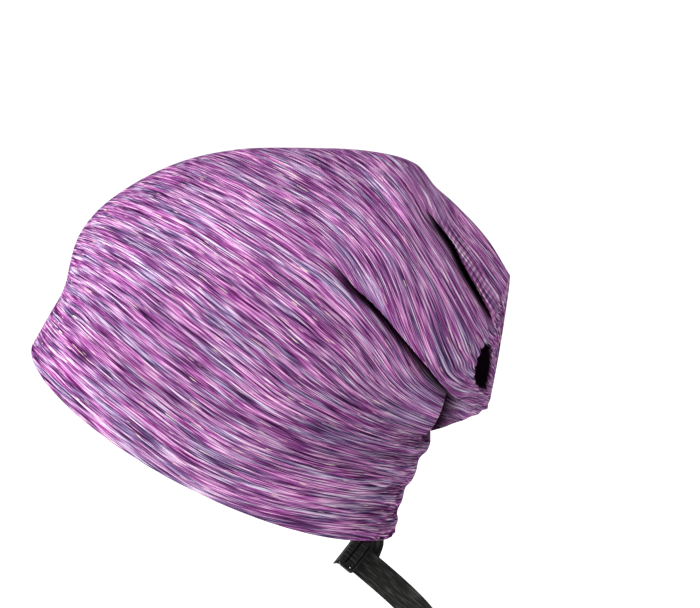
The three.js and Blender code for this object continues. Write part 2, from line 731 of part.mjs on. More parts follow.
addPiece('outer_shell', outerShell(), 0x8b4e93, 0.85);
addPiece('satin_lining', satinLining(), 0xc0c4cc, 0.35);
addPiece('elastic_strap', elasticStrap(), 0x1c1c1e, 0.8);
addPiece('slider_loop', sliderLoop(), 0x1c1c1e, 0.8);
const slider = addPiece('slider', sliderGeometry(), 0x17171a, 0.45);
slider.position.copy(SLIDER_CENTRE);
slider.quaternion.setFromRotationMatrix(
  new THREE.Matrix4().makeBasis(alongBars, acrossBars, alongBars.clone().cross(acrossBars)));

export default hat;
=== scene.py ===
import math

import bmesh
import bpy
import numpy as np
from mathutils import Matrix, Vector


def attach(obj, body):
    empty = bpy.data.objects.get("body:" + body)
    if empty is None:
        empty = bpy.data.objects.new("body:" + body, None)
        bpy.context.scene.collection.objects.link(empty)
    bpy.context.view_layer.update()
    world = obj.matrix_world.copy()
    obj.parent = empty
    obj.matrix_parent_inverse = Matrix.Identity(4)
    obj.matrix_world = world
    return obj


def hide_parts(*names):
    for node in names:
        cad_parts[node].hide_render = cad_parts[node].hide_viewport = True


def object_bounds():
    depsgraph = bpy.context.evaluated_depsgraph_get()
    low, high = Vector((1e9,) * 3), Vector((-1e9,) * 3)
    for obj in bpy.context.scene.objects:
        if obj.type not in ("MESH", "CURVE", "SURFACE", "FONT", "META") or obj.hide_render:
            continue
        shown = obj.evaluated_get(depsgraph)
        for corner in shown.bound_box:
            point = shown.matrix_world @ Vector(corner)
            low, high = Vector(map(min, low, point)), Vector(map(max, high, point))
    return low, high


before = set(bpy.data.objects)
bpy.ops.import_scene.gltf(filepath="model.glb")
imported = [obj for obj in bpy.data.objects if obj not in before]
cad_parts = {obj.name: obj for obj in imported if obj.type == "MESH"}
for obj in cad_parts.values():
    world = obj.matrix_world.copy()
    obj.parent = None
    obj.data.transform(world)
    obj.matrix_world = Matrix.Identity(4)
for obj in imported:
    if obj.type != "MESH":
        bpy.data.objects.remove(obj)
cad_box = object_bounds()

# Slouchy jersey beanie with a satin lining and a slider-adjusted elastic at the nape.
# The tables are in millimetres, in the CAD's frame: +Z up, -X the way the wearer
# faces and -Y the wearer's left. MM turns them into metres where a mesh is made.
MM = 0.001

# The camera: how wide it sees at the hat, from which angle, and the point it looks at
VIEW_SPAN = 350.0
VIEW_AZIMUTH = math.radians(7)
VIEW_ELEVATION = math.radians(13)
VIEW_RIGHT = 70.0
VIEW_UP = -73.0
LENS = 135.0
SENSOR = 36.0

# Cloth walls, and the channel in the hem, which opens from RIM_CHANNEL at the rim
WALL = 1.1
RIM_CHANNEL = 0.4
CHANNEL = 2.0
CHANNEL_OPENS = 0.45
RIM_ROUND = 1.3
LINING_GAP = 0.6
LINING = 0.8

# Runs, from 0 at the rim to 1 at the tip, of the hem's top edge and of the end face.
# Levels count 0 rim, 1 top edge of the hem, 2 edge of the end face, 3 tip.
HEM_FOREHEAD = 0.235
HEM_NAPE = 0.37
CAP_START = 0.98
LINING_TUCK = 0.8
LEVEL_STEP = 0.012
TURN_STEP = 0.02
LAST_LEVEL = 2.99
LEFT_SIDE_TURN = 1.25

# Mesh density of the shell and of the lining. Columns crowd round CROWDED_TURN, where
# the folds are, and rows a quarter of the way in from each edge of the crown.
SHELL_AROUND = 290
SHELL_ROWS = {"band": 30, "crown": 196, "cap": 40}
LINING_AROUND = 220
LINING_ROWS = {"band": 30, "crown": 90, "cap": 24}
CROWDING = 0.42
CROWDED_TURN = 2.0
ROW_CROWDING = 0.42
INNER_STRIDE = 6
LEAF_STRIDE = 3
BLUR_TIMES = 4

# The knit: the size of its stitches on a head of HEAD_RADIUS, and how its courses lie.
# They slope down towards the back, steepen over the slouch, flatten at the nape and
# slant forward where the cloth goes over the top.
HEAD_RADIUS = 84.5
COURSE = 0.9
WALE = 1.0
COURSE_SLOPE = math.radians(38)
SLOUCH_STEEPER = {"from": 45.0, "to": 118.0, "by": 1.5, "foot": -150.0, "top": -100.0}
NAPE_FLATTER = {"from": -108.0, "to": -190.0, "by": 0.75, "softness": 24.0}
TOP_SLANT = {"from": -75.0, "to": -15.0, "by": 0.2, "side": 80.0}

# Oval sections from the rim to the end face: where each crosses the middle of the
# forehead or top and of the nape, its half widths, how far its sides bow upwards, and
# how far its left side leans forward
SECTION_COLUMNS = (
    "run", "top_x", "top_z", "nape_x", "nape_z", "left", "right", "bow", "lean",
)
SECTIONS = np.array([
    (0.00, -92.2, -97.0, 92.7, -189.6, 76, 76, 4.5, 0),
    (0.10, -83.1, -81.4, 95.7, -179.5, 78, 78, 3.0, 0),
    (0.18, -74.6, -66.0, 99.2, -170.2, 79, 79, 2.0, 0),
    (0.28, -66.5, -39.5, 104.2, -159.4, 81, 81, 0, 0),
    (0.36, -50.9, -22.0, 109.3, -150.0, 83, 83, 0, 0),
    (0.46, -21.7, -5.2, 111.3, -143.2, 84, 84, 0, 0),
    (0.56, 10.1, 3.2, 107.5, -137.6, 82, 82, 0, 0),
    (0.64, 45.3, 4.9, 105.8, -134.6, 79, 79, 0, 0),
    (0.72, 77.6, 4.1, 112.8, -136.4, 76, 75, 0, 0),
    (0.79, 100.3, -1.2, 120.9, -134.6, 74, 71, 0, 0),
    (0.84, 110.5, -12.5, 126.9, -131.4, 72, 68, 0, 1),
    (0.89, 122.5, -23.0, 131.5, -128.8, 69, 64, 0, 2),
    (0.94, 138.0, -39.2, 136.0, -126.0, 63, 56, 0, 4),
    (0.98, 150.1, -57.3, 141.1, -122.8, 49, 44, 0, 7),
])

# The rim droops a little at the nape. TIP is where the crown is gathered.
DROOP = {"depth": 3.2, "half_turn": 0.26, "half_run": 0.08}
TIP = np.array([143.5, -34.0, -95.2])

# Folds are drawn on the plane that faces the camera (side -1) or square to Y (side 1).
# u runs to the back of the head and v runs up. A side's folds fade out across the
# middle of the hat.
SIDE_BLEND = 14.0
SIDE_SHIFT = 5.6

# The roll beside a valley rises within WALL_SHARE of its width. Its crest fades in over
# ROLL_RISES and is highest at ROLL_PLACE, and its lean fades out over LAP_ENDS, all in
# widths. FACE_ON turns the way that a valley sinks from square to the cloth, 0, to
# straight away from the camera, 1. Inner layers have the softer wall of SOFT_WALL.
WALL_SHARE = 0.28
SOFT_WALL = 0.85
ROLL_RISES = 0.448
ROLL_PLACE = 0.8
ROLL_HALF = 0.8
LAP_ENDS = (2.5, 0.5)
FACE_ON = 0.8

# Little light gets into a crease, so the cloth is darkened over SHADE_SHARE of the slope
# and the foot of the roll, as much as the valley's depth within SHADE_DEPTHS asks for
SHADE_SHARE = 0.95
SHADE_ON_ROLL = (0.28, 0.112)
SHADE_DEPTHS = (1.0, 7.0)
PLEAT_SHADE = 0.42

# The gathered roll's ribs: their height and spacing, how far they slant, and where on
# the roll they lie and how far they reach, as shares of its width
GATHER_HEIGHT = 0.3
GATHER_SPACING = 3.1
GATHER_SLANT = 0.55
GATHER_PLACE = 0.55
GATHER_HALF = 0.5

# Each row is a point of a fold's path: the valley's depth, the width of the slope that
# sinks into it, the height and width of the roll beside it, how far the roll leans over
# the valley, and how strongly the roll is gathered
FOLD_COLUMNS = ("u", "v", "depth", "slope", "roll", "width", "lap", "gather")
PATH_STEPS = 8
FOLDS = {
    "crease under the slouch": (-1, np.array([
        (50, -45, 0, 6, 0, 9, 0, 0),
        (61.5, -53.5, 2.8, 6, 1.2, 9, 1.5, 0),
        (73, -63, 6.0, 6, 2.2, 9, 4.5, 0),
        (86, -72.5, 8.5, 6, 2.8, 9, 6.5, 0),
        (98.5, -84.8, 10.5, 6.5, 3.2, 9, 8.0, 0),
        (110, -98.3, 11.5, 7, 3.2, 9, 8.0, 0),
        (121.5, -114.5, 9.5, 7, 2.4, 9, 6.0, 0),
        (125.5, -121, 3.0, 6, 0.8, 8, 1.5, 0),
        (128, -126, 0, 6, 0, 8, 0, 0),
    ])),
    "edge of the body over the slouch's underside": (-1, np.array([
        (106.5, -142, 0, 20, 0, 8, 0, 0),
        (108, -136, 6.5, 24, 0.8, 8, 3.0, 0),
        (111, -128, 9.0, 20, 1.2, 8, 4.0, 0),
        (116, -119, 7.0, 13, 0.6, 8, 2.0, 0),
        (119.5, -112, 0, 6, 0, 8, 0, 0),
    ])),
    "crevice beside the rear flap": (-1, np.array([
        (104, -25, 0, 5, 0, 6, 0, 0),
        (109, -29, 4.0, 6, 1.2, 6, 2.0, 0.3),
        (116, -35, 7.5, 7, 2.2, 6.5, 4.0, 0.8),
        (122.5, -43.5, 9.0, 7, 2.8, 6.5, 4.5, 1.2),
        (128, -55, 9.5, 7, 3.0, 6.5, 4.5, 1.4),
        (134, -66, 8.5, 6, 2.8, 6.5, 4.0, 1.4),
        (139, -77, 5.5, 5, 1.8, 6, 3.0, 1.0),
        (141, -88, 1.5, 4, 0.6, 5, 1.0, 0.4),
    ])),
    "crease under the slouch, right side": (1, np.array([
        (70, -70, 0, 12, 0, 12, 0, 0),
        (88, -88, 4.5, 14, 1.2, 12, 2.0, 0),
        (104, -108, 7.0, 14, 1.8, 12, 4.0, 0),
        (112, -126, 5.5, 13, 0.8, 11, 2.0, 0),
        (110, -140, 2.0, 10, 0, 10, 0, 0),
    ])),
    "dent over the temple": (-1, np.array([
        (-72, -66, 0, 14, 0, 12, 0, 0),
        (-48, -92, 2.5, 16, 0.8, 14, 0, 0),
        (-15, -120, 2.5, 16, 0.8, 14, 0, 0),
        (20, -138, 0, 14, 0, 12, 0, 0),
    ])),
    "soft band over the ear": (-1, np.array([
        (-2, -16, 0, 14, 0, 14, 0, 0),
        (26, -38, 1.6, 14, 1.0, 14, 0, 0),
        (60, -72, 2.2, 14, 1.2, 14, 0, 0),
        (84, -104, 2.0, 12, 1.0, 12, 0, 0),
        (100, -124, 0, 10, 0, 10, 0, 0),
    ])),
    "soft band over the slouch": (-1, np.array([
        (62, 2, 0, 14, 0, 14, 0, 0),
        (84, -18, 1.6, 12, 1.0, 12, 0, 0),
        (104, -46, 2.0, 11, 1.2, 11, 0, 0),
        (120, -76, 1.4, 10, 0.8, 10, 0, 0),
        (132, -98, 0, 9, 0, 9, 0, 0),
    ])),
}

# Pleats that run forward from the nape, and fade out PLEAT_TAIL behind it
PLEAT_TAIL = 16.0
PLEAT_COLUMNS = ("u", "v", "run_u", "run_v", "depth", "half")
PLEATS = np.array([
    (105, -152, -58, 14, 3.0, 3.6),
    (94, -166, -56, 30, 3.6, 4.4),
    (96, -179, -55, 15, 3.0, 3.8),
    (92, -187, -46, 12, 1.8, 2.8),
])

# The slot of the gathered tip, at the corner of the side and the end face, darkened by
# painted shade, and the gathers that run into it
REAR = (110.0, 128.0)
PIT = {"depth": 9.0, "u": 137.2, "v": -104.3, "half_u": 3.7, "half_v": 10.6, "room": 2.4}
PIT_EDGE = 1.7
PIT_SHADE = (1.3, 0.95)
PIT_INTO = np.array([-0.45, 0.89, 0.05])
GATHERS = {"count": 17, "height": 0.9, "reach": 17.0, "starts": (3, 8), "squash": 0.7, "fan": 0.5}

# Small outward wrinkles where the elastic gathers the rim: how many to a radian, how far
# they skew up the hat, where their wave starts, and where and how wide they lie
WRINKLE_COLUMNS = ("height", "count", "skew", "start", "turn", "half_turn")
WRINKLES = (
    (0.9, 46, 5, 0, -0.05, 0.3),
    (0.8, 27, -9, 1.3, 0, 0.5),
)
WRINKLES_UP = 0.7
WRINKLES_ROUND = 0.55


def smooth(edge0, edge1, value):
    t = np.clip((value - edge0) / (edge1 - edge0), 0, 1)
    return t * t * (3 - 2 * t)


def mix(a, b, t):
    return a + (b - a) * t


def bell(value):
    return np.exp(-value * value)


def unit(vectors):
    return vectors / np.linalg.norm(vectors, axis=-1, keepdims=True)


def distance_along(line):
    """How far along a line of points each of them lies."""
    return np.concatenate([[0], np.cumsum(np.linalg.norm(np.diff(line, axis=0), axis=1))])


def added(name, data):
    """A new object in the scene."""
    made = bpy.data.objects.new(name, data)
    bpy.context.collection.objects.link(made)
    return made


def write_vectors(mesh, name, vectors):
    """Gives each point of a mesh a vector, for its material to read."""
    attribute = mesh.attributes.new(name, "FLOAT_VECTOR", "POINT")
    attribute.data.foreach_set("vector", np.asarray(vectors, np.float32).ravel())


def face_outward(mesh):
    edit = bmesh.new()
    edit.from_mesh(mesh)
    bmesh.ops.recalc_face_normals(edit, faces=edit.faces)
    edit.to_mesh(mesh)
    edit.free()


def add_node(tree, kind, inputs=None, **settings):
    """The outputs of a new node whose inputs are linked or given."""
    node = tree.nodes.new(kind)
    for key, value in settings.items():
        setattr(node, key, value)
    for key, value in (inputs or {}).items():
        if isinstance(value, bpy.types.NodeSocket):
            tree.links.new(value, node.inputs[key])
        else:
            node.inputs[key].default_value = value
    return node.outputs


def quads_between(first, second, count):
    """Faces between two rings of points, whose numbers start at first and second."""
    column = np.arange(count)
    following = (column + 1) % count
    return np.stack([first + column, first + following, second + following, second + column], 1)


def cubic_through(at, rows, where):
    """Rows of a table at any place, by a smooth curve through them."""
    slopes = np.empty_like(rows)
    slopes[1:-1] = (rows[2:] - rows[:-2]) / (at[2:] - at[:-2])[:, None]
    slopes[0] = (rows[1] - rows[0]) / (at[1] - at[0])
    slopes[-1] = (rows[-1] - rows[-2]) / (at[-1] - at[-2])
    i = np.clip(np.searchsorted(at, where, side="right") - 1, 0, len(at) - 2)
    span = (at[i + 1] - at[i])[..., None]
    t = (where - at[i])[..., None] / span
    return (
        (2 * t**3 - 3 * t**2 + 1) * rows[i]
        + (t**3 - 2 * t**2 + t) * span * slopes[i]
        + (3 * t**2 - 2 * t**3) * rows[i + 1]
        + (t**3 - t**2) * span * slopes[i + 1]
    )


def plain_points(run, turn):
    """The unfolded hat. turn is 0 at the forehead and a half turn at the nape."""
    along = np.minimum(run, CAP_START)
    rows = cubic_through(SECTIONS[:, 0], SECTIONS, along)
    section = dict(zip(SECTION_COLUMNS, np.moveaxis(rows, -1, 0)))
    mid_x = (section["top_x"] + section["nape_x"]) / 2
    mid_z = (section["top_z"] + section["nape_z"]) / 2
    half_x = (section["top_x"] - section["nape_x"]) / 2
    half_z = (section["top_z"] - section["nape_z"]) / 2
    half = np.hypot(half_x, half_z)
    cos, sin = np.cos(turn), np.sin(turn)
    width = mix(section["right"], section["left"], 0.5 + 0.5 * sin)
    bow = section["bow"] * sin * sin / half
    x = mid_x + half_x * cos - half_z * bow - section["lean"] * np.maximum(sin, 0) ** 2
    z = mid_z + half_z * cos + half_x * bow
    droop = bell((turn - math.pi) / DROOP["half_turn"]) * bell(run / DROOP["half_run"])
    points = np.stack([x, -width * sin, z - DROOP["depth"] * droop], -1)
    end_face = unit(np.stack([half_z, np.zeros_like(half_z), -half_x], -1))
    t = np.clip((run - CAP_START) / (1 - CAP_START), 0, 1)[..., None]
    reach = TIP - points
    out = (reach * end_face).sum(-1, keepdims=True)
    return points + reach * t + end_face * out * (np.sin(math.pi * t / 2) - t)


def side_axes(side):
    """The directions of u and v in space."""
    if side > 0:
        return np.array([1.0, 0, 0]), np.array([0, 0, 1.0])
    cos_a, sin_a = math.cos(VIEW_AZIMUTH), math.sin(VIEW_AZIMUTH)
    cos_e, sin_e = math.cos(VIEW_ELEVATION), math.sin(VIEW_ELEVATION)
    return np.array([cos_a, sin_a, 0]), np.array([-sin_a * sin_e, cos_a * sin_e, cos_e])


def nearest_on_path(rows, u, v):
    """The path's row nearest each point, the signed distance to it, positive on the
    upper side, how far along it lies and the direction across it."""
    last = len(rows) - 1
    steps = np.arange(len(rows), dtype=float)
    fine = cubic_through(steps, rows, np.linspace(0, last, last * PATH_STEPS + 1))
    best = np.full(u.shape, np.inf)
    signed = np.zeros(u.shape)
    along = np.zeros(u.shape)
    row = np.zeros(u.shape + (rows.shape[1],))
    across = np.zeros(u.shape + (2,))
    travelled = 0.0
    for a, b in zip(fine[:-1], fine[1:]):
        du, dv = b[0] - a[0], b[1] - a[1]
        length = math.hypot(du, dv)
        t = np.clip(((u - a[0]) * du + (v - a[1]) * dv) / length**2, 0, 1)
        gap_u = u - (a[0] + du * t)
        gap_v = v - (a[1] + dv * t)
        distance = np.hypot(gap_u, gap_v)
        nearer = distance < best
        sign = np.where(gap_v * du - gap_u * dv >= 0, 1.0, -1.0)
        best = np.where(nearer, distance, best)
        signed = np.where(nearer, distance * sign, signed)
        along = np.where(nearer, travelled + length * t, along)
        row[nearer] = (a + (b - a) * t[..., None])[nearer]
        across[nearer] = (-dv / length, du / length)
        travelled += length
    return row, signed, along, across


def side_share(points, side):
    """1 on the given side of the hat, fading to 0 across the middle."""
    return smooth(-SIDE_BLEND, SIDE_BLEND, side * points[..., 1] + SIDE_SHIFT)


def fold_along_path(points, outward, fine, side, rows):
    """One fold: the moves, the shade in its crease, and how far along its roll and how
    strongly gathered each point is."""
    here = side_share(points, side)
    axis_u, axis_v = side_axes(side)
    row, signed, along, across = nearest_on_path(rows, points @ axis_u, points @ axis_v)
    fold = dict(zip(FOLD_COLUMNS, np.moveaxis(row, -1, 0)))
    facing = np.cross(axis_u, axis_v) if side < 0 else np.array([0, 1.0, 0])
    away = unit(mix(outward, facing, FACE_ON))
    place = signed / fold["width"]
    upper = signed > 0

    wall = mix(bell(place / SOFT_WALL), 1 - smooth(0, WALL_SHARE, place), fine)
    drop = fold["depth"] * np.where(upper, wall, bell(signed / fold["slope"]))
    gather_at = along + signed * GATHER_SLANT
    gathered = fold["gather"] * bell((place - GATHER_PLACE) / GATHER_HALF)
    ribs = GATHER_HEIGHT * gathered * np.sin(2 * math.pi * gather_at / GATHER_SPACING)
    crest = fold["roll"] * bell((place - ROLL_PLACE) / ROLL_HALF)
    rise = fine * smooth(0, ROLL_RISES, place) * (crest + ribs)
    moves = -(here * (drop - rise))[..., None] * away

    over = across[..., :1] * axis_u + across[..., 1:] * axis_v
    over -= away * (over * away).sum(-1, keepdims=True)
    lean = here * fine * fold["lap"] * smooth(0, WALL_SHARE, place) * smooth(*LAP_ENDS, place)
    moves -= lean[..., None] * over

    overhang = np.maximum(fold["lap"] - WALL_SHARE * fold["width"], 0)
    on_slope = smooth(-overhang - SHADE_SHARE * fold["slope"], -overhang, signed)
    dark = np.where(upper, smooth(*SHADE_ON_ROLL, place), on_slope)
    return moves, here * dark * smooth(*SHADE_DEPTHS, fold["depth"]), gather_at, here * gathered


def nape_pleats(points, outward):
    """The moves and the shade of the pleats."""
    left = side_share(points, -1)
    axis_u, axis_v = side_axes(-1)
    u, v = points @ axis_u, points @ axis_v
    sink = np.zeros_like(left)
    shade = np.zeros_like(left)
    for row in PLEATS:
        pleat = dict(zip(PLEAT_COLUMNS, row))
        from_u, from_v = u - pleat["u"], v - pleat["v"]
        length = math.hypot(pleat["run_u"], pleat["run_v"])
        along = (from_u * pleat["run_u"] + from_v * pleat["run_v"]) / length
        across = (from_v * pleat["run_u"] - from_u * pleat["run_v"]) / length
        valley = left * smooth(length, 0, along) * smooth(-PLEAT_TAIL, 0, along)
        valley *= bell(across / pleat["half"])
        sink += pleat["depth"] * valley
        shade = np.maximum(shade, PLEAT_SHADE * valley)
    return -outward * sink[..., None], shade


def gathered_tip(points, outward, fine):
    """The moves of the slot and of the gathers round it, and the painted shade in the slot."""
    share = side_share(points, -1) * smooth(*REAR, points[..., 0])
    axis_u, axis_v = side_axes(-1)
    u, v = points @ axis_u, points @ axis_v
    room = mix(PIT["room"], 0, fine)
    slot_u = (u - PIT["u"]) / (PIT["half_u"] + room)
    slot_v = (v - PIT["v"]) / (PIT["half_v"] + room)
    slot = np.hypot(slot_u, slot_v)
    into = (share * PIT["depth"] * bell(slot**PIT_EDGE))[..., None] * PIT_INTO
    from_u, from_v = u - TIP @ axis_u, v - TIP @ axis_v
    reach = np.hypot(from_u, from_v * GATHERS["squash"])
    wave = np.sin(np.arctan2(from_v * GATHERS["fan"], from_u) * GATHERS["count"])
    sink = wave * smooth(*GATHERS["starts"], reach) * bell(reach / GATHERS["reach"])
    sink *= share * fine * GATHERS["height"]
    return into - outward * sink[..., None], share * smooth(*PIT_SHADE, slot)


def fold_moves(points, outward, fine):
    """How each point moves when the hat is folded, and its marks: the painted shade of a crease,
    pleat or slot on it, how far along a gathered roll and how strongly gathered it is there.
    fine is 1 for the outer cloth, and 0 for the layers under it, which lie in plainer folds."""
    moves = np.zeros_like(points)
    shade, gather_at, gathered = np.zeros((3, *points.shape[:-1]))
    for side, rows in FOLDS.values():
        move, dark, at, strength = fold_along_path(points, outward, fine, side, rows)
        moves += move
        shade = np.maximum(shade, dark)
        gather_at = np.where(strength > gathered, at, gather_at)
        gathered = np.maximum(gathered, strength)
    for move, dark in (nape_pleats(points, outward), gathered_tip(points, outward, fine)):
        moves += move
        shade = np.maximum(shade, dark)
    return moves, np.stack([shade, gather_at, gathered], -1)


def nape_wrinkles(level, turn):
    """How far the wrinkles at the nape lift the cloth, in millimetres."""
    from_nape = turn - math.pi
    lift = np.zeros_like(turn)
    for row in WRINKLES:
        wrinkle = dict(zip(WRINKLE_COLUMNS, row))
        wave = np.sin(from_nape * wrinkle["count"] + wrinkle["skew"] * level + wrinkle["start"])
        wave *= bell((from_nape - wrinkle["turn"]) / wrinkle["half_turn"])
        lift += wrinkle["height"] * (0.5 + 0.5 * wave)
    return lift * bell(level / WRINKLES_UP) * bell(from_nape / WRINKLES_ROUND)


def hem_run(turn):
    """The run of the hem's top edge, which is deeper at the nape."""
    return mix(HEM_FOREHEAD, HEM_NAPE, (1 - np.cos(turn)) / 2)


def run_of(level, turn):
    hem = hem_run(turn)
    crown = mix(hem, CAP_START, level - 1)
    cap = mix(CAP_START, 1, level - 2)
    return np.where(level <= 1, hem * level, np.where(level <= 2, crown, cap))


def outward_of(surface, level, turn):
    low = np.maximum(level - LEVEL_STEP, 0)
    high = np.minimum(level + LEVEL_STEP, LAST_LEVEL)
    middle = (low + high) / 2
    along_level = surface(high, turn) - surface(low, turn)
    along_turn = surface(middle, turn + TURN_STEP) - surface(middle, turn - TURN_STEP)
    return unit(np.cross(along_turn, along_level))


def plain_cloth(level, turn):
    return plain_points(run_of(level, turn), turn)


def folded_cloth(level, turn):
    """The surface that the layers under the outer cloth follow."""
    points = plain_cloth(level, turn)
    outward = outward_of(plain_cloth, level, turn)
    moves, _ = fold_moves(points, outward, 0)
    return points + moves


def cloth_point(level, turn, depth):
    """One point under the softly folded cloth, where the elastic and its stitches go."""
    level, turn = np.array([float(level)]), np.array([float(turn)])
    outward = outward_of(folded_cloth, level, turn)
    return (folded_cloth(level, turn) - outward * depth)[0]


def channel_at(level):
    return mix(RIM_CHANNEL, CHANNEL, smooth(0, CHANNEL_OPENS, level))


class ClothGrid:
    """The cloth as rows from the rim to the tip and columns round the head: plain before
    it is folded, soft for the inner layers, and points for the outer face."""

    def __init__(self, around, rows, fine=False):
        even = np.arange(around) * 2 * math.pi / around
        self.around = around
        self.turn = even - CROWDING * np.sin(even - CROWDED_TURN)
        band, crown, cap = (np.arange(rows[part]) / rows[part] for part in ("band", "crown", "cap"))
        crown += ROW_CROWDING / (4 * math.pi) * np.sin(4 * math.pi * crown)
        self.level = np.concatenate([band, 1 + crown, 2 + cap])
        level, turn = np.meshgrid(self.level, self.turn, indexing="ij")
        self.plain = plain_cloth(level, turn)
        self.soft = folded_cloth(level, turn)
        self.soft_outward = self.blurred(self.grid_normals(self.soft))
        self.points = self.soft
        self.marks = np.zeros((*level.shape, 3))
        if fine:
            moves, self.marks = fold_moves(self.plain, outward_of(plain_cloth, level, turn), 1)
            lift = nape_wrinkles(level, turn)[..., None]
            self.points = self.plain + moves + self.soft_outward * lift
        self.tip = self.points[-1].mean(0)
        self.soft_tip = self.soft[-1].mean(0)
        self.tip_outward = unit(self.soft_outward[-1].mean(0))

    @staticmethod
    def grid_normals(points):
        along_turn = np.roll(points, -1, 1) - np.roll(points, 1, 1)
        along_level = np.gradient(points, axis=0)
        return unit(np.cross(along_turn, along_level))

    @staticmethod
    def blurred(vectors):
        for _ in range(BLUR_TIMES):
            sides = np.roll(vectors, 1, 1) + np.roll(vectors, -1, 1)
            padded = np.concatenate([vectors[:1], vectors, vectors[-1:]])
            vectors = unit(2 * vectors + sides + padded[2:] + padded[:-2])
        return vectors

    def distance_up(self):
        """Each row's distance from the rim up the hat's left side."""
        line = plain_cloth(self.level, np.full(self.level.shape, LEFT_SIDE_TURN))
        return distance_along(line)

    def row_at(self, level):
        return int(np.argmin(abs(self.level - level)))

    def ring(self, row, depth, drop=0.0):
        """The cloth's face, or at a depth a layer under its softly folded shape."""
        points = self.soft[row] - self.soft_outward[row] * depth if depth else self.points[row]
        if drop:
            points = points - unit(self.soft[row + 1] - self.soft[row]) * drop
        return {"points": points, "row": row, "marks": self.marks[row] * (depth == 0)}


def slit_walls(count, skipped):
    """Faces that close a slit all round, between the two layers that it goes through."""
    (first_a, last_a, left, right), (first_b, last_b, _, _) = skipped
    walls = []
    for step in range(last_a - first_a):
        low_a, low_b = 1 + (first_a + step) * count, 1 + (last_b - step) * count
        high_a, high_b = low_a + count, low_b - count
        walls.append((low_a + left, high_a + left, high_b + left, low_b + left))
        walls.append((low_a + right, low_b + right, high_b + right, high_a + right))
    for column in range(left, right):
        low_a, high_a = 1 + first_a * count + column, 1 + last_a * count + column
        low_b, high_b = 1 + last_b * count + column, 1 + first_b * count + column
        walls.append((low_a, low_b, low_b + 1, low_a + 1))
        walls.append((high_a, high_a + 1, high_b + 1, high_b))
    return np.array(walls)


def stitch_map(turn, up, faces):
    """Each face corner's place in the knit's stitches. A face that lies over the seam
    of the map is not torn by it."""
    around = turn[faces]
    around = np.where(around.max(1, keepdims=True) - around > math.pi, around + 2 * math.pi, around)
    return np.stack([around * HEAD_RADIUS, up[faces]], -1).reshape(-1, 2)


def skin(name, grid, rings, start, end, skipped=()):
    """A closed cloth over rings of points, with a point at each end. skipped holds the
    ring and column ranges of a slit through two layers, whose edges are walled."""
    count = grid.around
    points = np.vstack([start[None], *[ring["points"] for ring in rings], end[None]])
    quads = []
    for row in range(len(rings) - 1):
        between = quads_between(1 + row * count, 1 + (row + 1) * count, count)
        for first, last, left, right in skipped:
            if first <= row < last:
                between = np.delete(between, range(left, right), 0)
        quads.append(between)
    if skipped:
        quads.append(slit_walls(count, skipped))
    quads = np.vstack(quads)
    column = np.arange(count)
    following = (column + 1) % count
    top = 1 + (len(rings) - 1) * count
    start_fan = np.stack([0 * column, 1 + following, 1 + column], 1)
    end_fan = np.stack([0 * column + len(points) - 1, top + column, top + following], 1)
    a, b, c, d = (points[quads[:, k]] for k in range(4))
    volume = (a * np.cross(b, c)).sum() + (a * np.cross(c, d)).sum()

    used = np.zeros(len(points), bool)
    used[quads] = True
    used[[0, -1]] = True
    number = np.cumsum(used) - 1
    groups = [number[group] for group in (quads, np.vstack([start_fan, end_fan]))]
    if volume < 0:
        groups = [group[:, ::-1] for group in groups]
    mesh = bpy.data.meshes.new(name)
    faces = [face for group in groups for face in group.tolist()]
    mesh.from_pydata((points[used] * MM).tolist(), [], faces)
    mesh.shade_smooth()

    ring_rows = [ring["row"] for ring in rings]
    rows = np.concatenate([ring_rows[:1], np.repeat(ring_rows, count), ring_rows[-1:]])[used]
    columns = np.concatenate([[0], np.tile(column, len(rings)), [0]])[used]
    marks = np.vstack([rings[0]["marks"][:1], *[ring["marks"] for ring in rings], np.zeros((1, 3))])
    cloth = knit_place(grid.plain[rows, columns])
    rim = rows == 0
    cloth[rim, 2] += np.linalg.norm(points[used][rim] - grid.plain[0, columns[rim]], axis=1)
    write_vectors(mesh, "cloth", cloth * MM)
    # The folds' marks: painted shade of creases, pleats and slot, then the place and strength of the
    # roll's ribs
    write_vectors(mesh, "folds", marks[used])
    turn = grid.turn[columns] - grid.turn[0]
    up = grid.distance_up()[rows]
    places = np.vstack([stitch_map(turn, up, group) for group in groups]) * MM
    mesh.uv_layers.new(name="UVMap").data.foreach_set("uv", places.astype(np.float32).ravel())
    return added(name, mesh)


def knit_place(points):
    """Where the cloth lies in the knit, in millimetres: along a course, through the
    hat and across the courses."""
    axis_u, axis_v = side_axes(-1)
    u, v = points @ axis_u, points @ axis_v
    through = points @ np.cross(axis_v, axis_u)
    cos, sin = math.cos(COURSE_SLOPE), math.sin(COURSE_SLOPE)
    steeper, flatter, slant = SLOUCH_STEEPER, NAPE_FLATTER, TOP_SLANT
    t = np.clip((u - steeper["from"]) / (steeper["to"] - steeper["from"]), 0, 1)
    past = np.maximum(u - steeper["to"], 0)
    steepened = steeper["by"] * ((t**3 - t**4 / 2) * (steeper["to"] - steeper["from"]) + past)
    steepened *= smooth(steeper["foot"], steeper["top"], v)
    behind = (np.hypot(u, flatter["softness"]) + u) / 2
    flattened = flatter["by"] * smooth(flatter["from"], flatter["to"], v) * behind
    over = slant["by"] * np.maximum(through + slant["side"], 0)
    over *= smooth(slant["from"], slant["to"], v)
    across = (u + steepened - flattened) * sin + v * cos + over
    return np.stack([u * cos - v * sin, through, across], -1)


# The slit in the hem's leaf, at the nape
SLIT_LEVELS = (0.46, 0.89)
SLIT_HALF_TURN = 0.055

# Rings that round the rim's edge: shares of the way through it and of RIM_ROUND
RIM_RINGS = ((0.15, 0.6), (0.5, 1.0), (0.85, 0.6))

